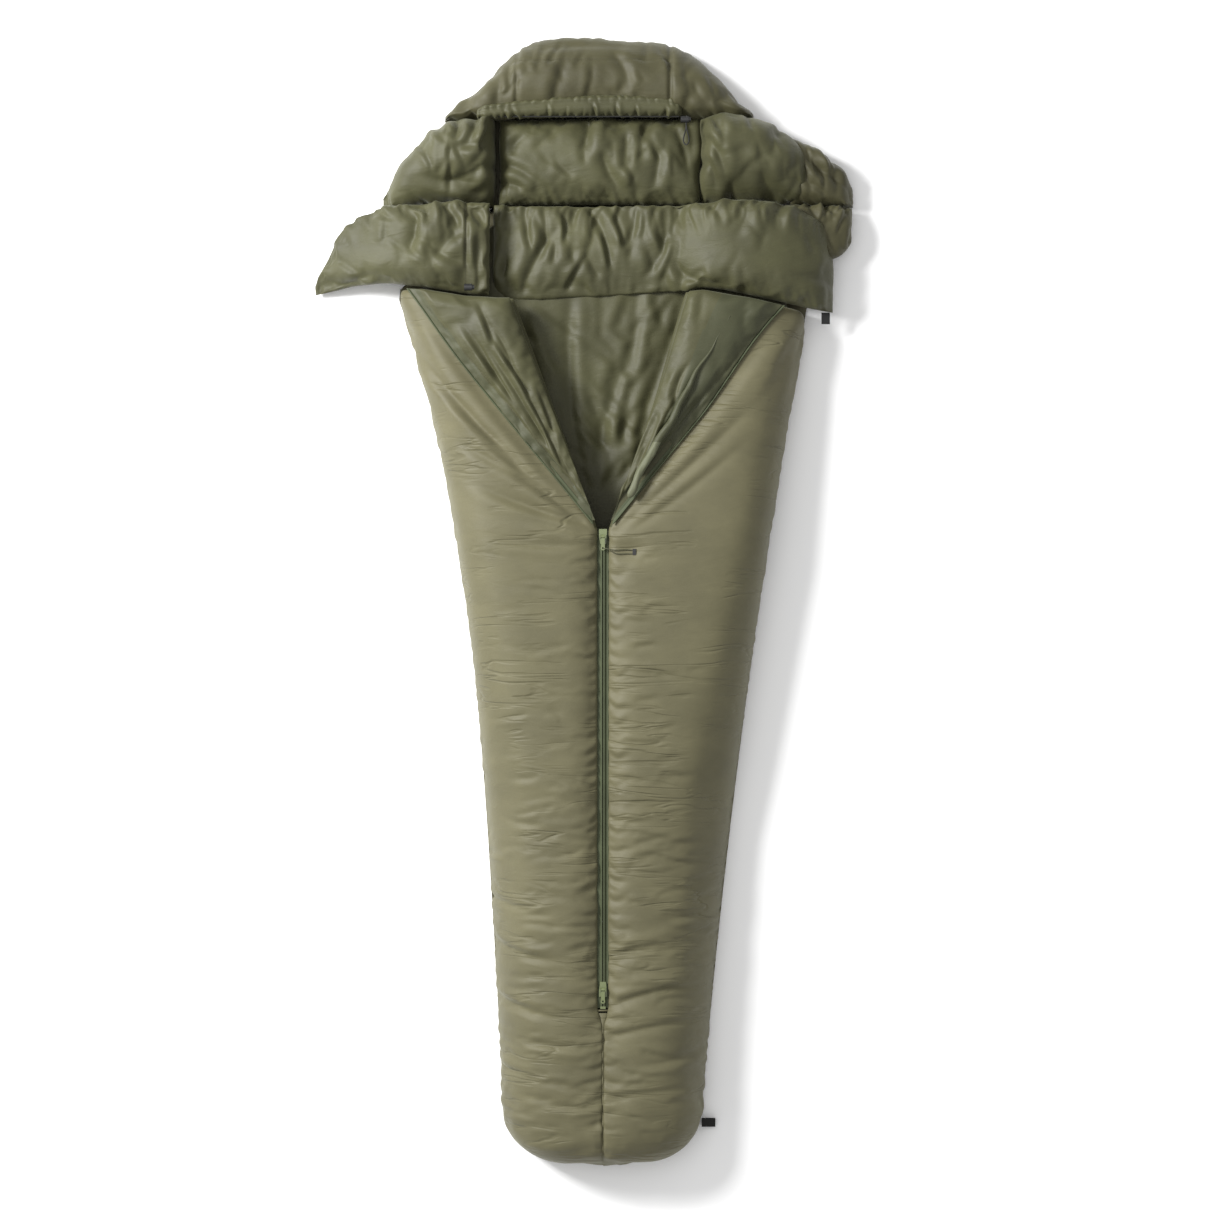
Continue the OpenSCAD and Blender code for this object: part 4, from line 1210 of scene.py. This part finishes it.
def arch_grid(sections, path_of, rows, cols, end_round):
    """Grids of a padded panel whose section is an arch that stands on the hood's cloth."""
    table = along(sections, rows)
    x = table[:, 0]
    ends = rounded_ends(x, end_round)
    top, bottom = np.zeros((rows, cols, 3)), np.zeros((rows, cols, 3))
    for i, row in enumerate(table):
        path = resample(rounded(path_of(*row[1:]), 4), cols)
        path[:, 1] = path[0, 1] + (path[:, 1] - path[0, 1]) * (0.06 + 0.94 * ends[i])
        top[i, :, 0] = bottom[i, :, 0] = x[i]
        top[i, :, 1:] = path
        bottom[i, :, 1] = np.linspace(path[0, 0], path[-1, 0], cols)
        bottom[i, :, 2] = lerp(path[0, 1], path[-1, 1], np.linspace(0, 1, cols))
    return top, bottom


def side_path(high, peak):
    """Section of a hood side panel: up from the crease, leaning back, and down behind."""
    low = CREASE_Y + 0.002
    lean = max(0.004, peak - 0.045)
    high = max(high, low + lean + 0.004)
    return [(low, 0.004), (low, min(0.045, peak - 0.001)), (low + lean, peak),
            (max(high - 0.014, low + lean + 0.001), peak), (high, 0.6 * peak), (high, 0.004)]


LEFT_HOOD_SIDE = [(-0.424, 0.772, 0.016), (-0.400, 0.806, 0.046), (-0.380, 0.840, 0.074),
                  (-0.300, 0.914, 0.110), (-0.205, 0.924, 0.114)]
RIGHT_HOOD_SIDE = [(0.182, 0.924, 0.112), (0.240, 0.923, 0.120), (0.300, 0.912, 0.116),
                   (0.350, 0.885, 0.104), (0.386, 0.858, 0.082), (0.402, 0.838, 0.060)]


def hood_side(left):
    """A side panel of the hood."""
    side, sections = ("left", LEFT_HOOD_SIDE) if left else ("right", RIGHT_HOOD_SIDE)
    top, bottom = arch_grid(sections, side_path, 66, 48, 0.030)
    sign, inner = (-1, "last_row") if left else (1, "first_row")

    def folds(rng):
        if left:
            lines = [(0.215, 0.91, 0.245, 0.82, 0.010, 0.012, 0.010),
                     (0.240, 0.925, 0.270, 0.85, 0.010, 0.011, 0.008),
                     (0.275, 0.915, 0.290, 0.86, 0.009, 0.008, 0.006),
                     (0.212, 0.83, 0.330, 0.79, 0.008, 0.009, 0.010),
                     (0.215, 0.86, 0.310, 0.84, 0.008, 0.009, -0.01),
                     (0.240, 0.795, 0.360, 0.815, 0.008, 0.008, 0.01),
                     (0.225, 0.775, 0.285, 0.80, 0.009, 0.008, 0.006)]
        else:
            lines = [(0.190, 0.88, 0.235, 0.78, 0.010, 0.012, 0.010),
                     (0.186, 0.84, 0.215, 0.77, 0.009, 0.009, 0.008),
                     (0.205, 0.92, 0.225, 0.86, 0.009, 0.008, 0.006),
                     (0.330, 0.765, 0.300, 0.83, 0.010, 0.006, 0.010),
                     (0.385, 0.78, 0.330, 0.80, 0.010, 0.006, -0.01),
                     (0.250, 0.762, 0.245, 0.80, 0.010, 0.008, 0.004)]
        spots = scattered(rng, 24 if left else 12, (0.21, 0.36), (0.78, 0.90), (20, 150), (0.04, 0.09),
                          (0.004, 0.009), (0.002, 0.005 if left else 0.003))
        return [(sign * a, b, sign * c, *rest) for a, b, c, *rest in lines + spots]

    puffed(f"hood_side_{side}_pad", top, bottom, [LINING], ("bag", "hood_body"),
           [f"hood_side_{side}"], across=HOOD_BEND,
           tight=[("first_column", 0.9, 0.06), ("last_column", 0.7, 0.05), (inner, 0.9, 0.05)],
           gather=[("first_column", 0.018, 0.06, 0.0034), (inner, 0.016, 0.05, 0.0034),
                   ("last_column", 0.022, 0.05, 0.0026)],
           folds=folds, slack=0.10, cap=0.014, seed=71 if left else 76, soft=0.004)


def brim_path(low, high, peak):
    """Section of the brim: up from the mouth of the hood, over, and down to its top edge."""
    return [(low, 0.004), (low, 0.8 * peak), (lerp(low, high, 0.2), peak),
            (lerp(low, high, 0.6), 0.95 * peak), (lerp(low, high, 0.9), 0.6 * peak),
            (high, 0.25 * peak), (high, 0.004)]


BRIM = [(-0.306, 0.9190, 0.930, 0.056), (-0.234, 0.9250, 0.976, 0.094), (-0.163, 0.9280, 1.050, 0.104),
        (-0.140, 0.9360, 1.064, 0.104), (-0.010, 0.9430, 1.074, 0.105), (0.127, 0.9360, 1.066, 0.104),
        (0.182, 0.9260, 1.031, 0.102), (0.262, 0.9255, 0.950, 0.092), (0.290, 0.9230, 0.934, 0.056)]
BRIM_STITCHES = [[(-0.160, 1.0264), (0.124, 1.0284)], [(-0.1665, 0.96), (-0.1665, 1.045)],
                 [(0.1305, 0.96), (0.1305, 1.055)]]


def brim():
    """The padded brim, in three parts with a seam between them."""
    top, bottom = arch_grid(BRIM, brim_path, 118, 46, 0.020)

    def folds(rng):
        lines = [(-0.09, 0.94, -0.06, 1.03, 0.010, 0.006, 0.01),
                 (0.02, 1.04, 0.05, 0.95, 0.010, 0.006, 0.01),
                 (-0.20, 0.94, -0.17, 1.02, 0.011, 0.007, 0.01),
                 (0.16, 0.94, 0.14, 1.03, 0.011, 0.006, -0.01),
                 (0.20, 0.94, 0.17, 1.01, 0.010, 0.006, 0.01),
                 (-0.12, 1.05, 0.09, 1.045, 0.008, 0.004, 0.01)]
        return lines + scattered(rng, 34, (-0.26, 0.22), (0.94, 1.04), (50, 130), (0.03, 0.08),
                                 (0.004, 0.008), (0.0018, 0.0040))

    grooves = [(-0.163, 0.91, -0.163, 1.08, 0.0022, 0.009), (0.127, 0.91, 0.127, 1.08, 0.0022, 0.009),
               (-0.163, 1.026, 0.127, 1.028, 0.0018, 0.0050)]
    return puffed("hood_brim", top, bottom, [BRIM_CLOTH], "hood_body",
           ["brim_left", "brim_centre", "brim_right"],
           tight=[("first_column", 0.95, 0.06), ("last_column", 0.6, 0.05)],
           gather=[("first_column", 0.013, 0.085, 0.0040), ("last_column", 0.022, 0.04, 0.0024)],
           folds=folds, grooves=grooves, slack=0.09, cap=0.012, seed=81, soft=0.004)


HOOD_OUTLINE = [(-0.424, 0.780), (-0.386, 0.841), (-0.310, 0.917), (-0.234, 0.974), (-0.167, 1.050),
                (-0.140, 1.066), (-0.006, 1.074), (0.140, 1.068), (0.184, 1.031), (0.270, 0.939),
                (0.355, 0.888), (0.431, 0.850), (0.481, 0.787)]


def hood_cloth():
    """Outer cloth of the hood, flat on the ground."""
    rows = []
    for x in np.linspace(-0.4150, 0.4720, 92):
        high = np.interp(x, *zip(*HOOD_OUTLINE)) - 0.009
        rows.append([(x, lerp(0.7565, high, v), 0.0024) for v in np.linspace(0, 1, 26)])
    top = np.array(rows)
    bottom = top.copy()
    bottom[..., 2] = 0.0009 * (1 + field(top, (12, 12, 1), 15))
    piece = pad("hood_cloth", top, bottom, [BRIM_CLOTH], smooth=False)
    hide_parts("hood_back_shell")
    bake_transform(piece)


def mouth_band():
    """Gathered casing of the drawcord, along the mouth of the hood."""
    xs, ts = np.linspace(-0.240, 0.150, 200), np.linspace(0, 1, 22)
    path = resample(rounded([(0.9160, 0.0760), (0.9150, 0.0920), (0.9215, 0.0980), (0.9290, 0.0955),
                             (0.9340, 0.0985), (0.9375, 0.0920)], 2), 22)
    top, bottom = np.zeros((200, 22, 3)), np.zeros((200, 22, 3))
    for i, x in enumerate(xs):
        rise = 0.022 * (1 - min(1.0, abs(x - 0.02) / 0.26) ** 2)
        drop = float(roll(min(x - xs[0], xs[-1] - x), 0.02))
        top[i, :, 0] = bottom[i, :, 0] = x
        y = path[:, 0] + rise * (0.15 + 0.85 * ts)
        top[i, :, 1] = bottom[i, :, 1] = y.mean() + (y - y.mean()) * (1 - 0.7 * drop)
        top[i, :, 2] = path[:, 1] - 0.003 - 0.014 * drop
        bottom[i, :, 2] = np.linspace(path[0, 1], path[-1, 1], 22) - 0.003 - 0.014 * drop
    puffed("hood_mouth_band", top, bottom, [LINING], "hood_body", ["drawcord_channel"],
           gather=[("first_column", 0.0105, 0.030, 0.0042), ("last_column", 0.012, 0.016, 0.0026)],
           slack=0, seed=91)


# --- cords ------------------------------------------------------------------------

PULL_ROUTE = [
    (2, 101, 133.4), (6, 101, 136), (11, 100, 138.6), (17, 98.6, 138.8), (25, 98, 138.6),
    (33, 98.6, 138.4), (41, 99, 138.2), (49, 98.6, 137.9), (55, 98.2, 137.7), (58.6, 96.6, 137.6),
    (59.4, 94, 137.6), (58.2, 91.8, 137.6), (55, 91, 137.7), (49, 91.2, 137.9), (41, 91.4, 138.2),
    (33, 91, 138.4), (25, 91.6, 138.6), (18, 94.2, 138.8), (13, 97, 139.6)]
LOOP_ROUTE = [
    (157, 904.4, 106.9), (157, 899, 108), (158, 892, 109), (160, 884, 109), (162, 876, 108),
    (162, 869, 106.5), (159, 864, 105), (155, 864, 103.5), (152, 869, 102.5), (152, 876, 102),
    (154, 884, 101.5), (156, 892, 101.5), (157, 899, 102), (157, 904.4, 103.1)]


def eased(route):
    """The route in metres, with a point added on a smooth curve halfway along each step."""
    points = [Vector(p) * MM for p in route]
    out = []
    for i in range(len(points) - 1):
        before, a, b = points[max(0, i - 1)], points[i], points[i + 1]
        after = points[min(len(points) - 1, i + 2)]
        out += [a, (a + b) * 0.5625 - (before + after) * 0.0625]
    return out + [points[-1]]


def cord(name, route, diameter, material, body, slot, nodes):
    """A free cord as a curve along its route."""
    points = eased(route)
    data = bpy.data.curves.new(name, "CURVE")
    data.dimensions = "3D"
    data.bevel_depth = diameter / 2
    data.bevel_resolution = 3
    data.use_fill_caps = True
    spline = data.splines.new("POLY")
    spline.points.add(len(points) - 1)
    for point, co in zip(spline.points, points):
        point.co = (*co, 1)
    data.materials.append(material)
    obj = bpy.data.objects.new(name, data)
    bpy.context.scene.collection.objects.link(obj)
    fit(obj, body, slot, *nodes)


cord("upper_pull_string", PULL_ROUTE, 0.0016, TAPE_CORD, "upper_pull_body", "black_cord",
     ["upper_pull_cord"])
cord("hood_loop_string", LOOP_ROUTE, 0.0026, CORD, "hood_lock_body", "black_cord",
     ["hood_cord_loop"])


# --- CAD parts that stay, with better finishes ------------------------------------

def finish_cad(material, *nodes):
    for name in nodes:
        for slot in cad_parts[name].material_slots:
            slot.material = material


finish_cad(METAL, "upper_slider", "lower_slider", "upper_pull_tab", "lower_pull_tab", "zip_bottom_stop")
finish_cad(PLASTIC, "neck_lock_barrel", "neck_lock_plunger", "hood_lock_barrel", "hood_lock_plunger",
           "upper_cord_end")
finish_cad(STEEL, "neck_lock_spring", "hood_lock_spring")
finish_cad(WEBBING, "hang_loop", "neck_tab")
finish_cad(CORD, "hood_drawcord")

front_quilt(True)
front_quilt(False)
back_quilt()
back_cloth()
outline_seam(True)
outline_seam(False)
for left in (True, False):
    label, sign, end_y = hand(left)
    facing_edge = [(sign * (edge_x(y) - STRIP), y) for y in (0.19, end_y - 0.02)]
    stitches(f"flap_{label}_stitches", flap(left), facing_edge, f"{label}_flap_body", "lining_fabric")
    open_tape(left)
draft_tube()
closed_tape(-1)
closed_tape(1)
foot_seam()
foot_end()
garage()
draft_flap()
neck_band()
left_wing = wing_left()
stitches("wing_seam_stitches", left_wing, [(-0.2590, 0.59), (-0.2590, 0.75)], "left_wing_body",
         "lining_fabric")
outer_sides()
hood_back()
hood_side(True)
hood_side(False)
brim_pad = brim()
for number, line in enumerate(BRIM_STITCHES):
    stitches(f"brim_stitches_{number}", brim_pad, line, "hood_body", "shell_fabric")
hood_cloth()
mouth_band()


# --- stage ------------------------------------------------------------------------

def make_stage():
    size = 60.0
    floor = mesh_object("floor", [(-size, -size, 0), (size, -size, 0), (size, size, 0), (-size, size, 0)],
                        [(0, 1, 2, 3)], [], smooth=False)
    material, _, _, shader = new_material("studio_floor")
    shader.inputs["Base Color"].default_value = (0.93, 0.93, 0.93, 1)
    shader.inputs["Roughness"].default_value = 0.9
    floor.data.materials.append(material)
    world = bpy.data.worlds.new("studio")
    bpy.context.scene.world = world
    world.use_nodes = True
    world.node_tree.nodes["Background"].inputs["Color"].default_value = (1, 1, 1, 1)
    world.node_tree.nodes["Background"].inputs["Strength"].default_value = 0.52


def area_light(name, location, target, size, power):
    data = bpy.data.lights.new(name, "AREA")
    data.shape = "SQUARE"
    data.size = size
    data.energy = power
    light = bpy.data.objects.new(name, data)
    light.location = location
    light.rotation_euler = (Vector(target) - Vector(location)).to_track_quat("-Z", "Y").to_euler()
    bpy.context.scene.collection.objects.link(light)


make_stage()
area_light("window_left", (-3.0, 1.7, 2.7), (0, 0, 0), 1.3, 300)
area_light("top_fill", (-0.8, 0.4, 4.5), (0, 0, 0), 3.0, 30)
bpy.context.scene.view_settings.view_transform = "Standard"
bpy.context.scene.view_settings.exposure = 0.30
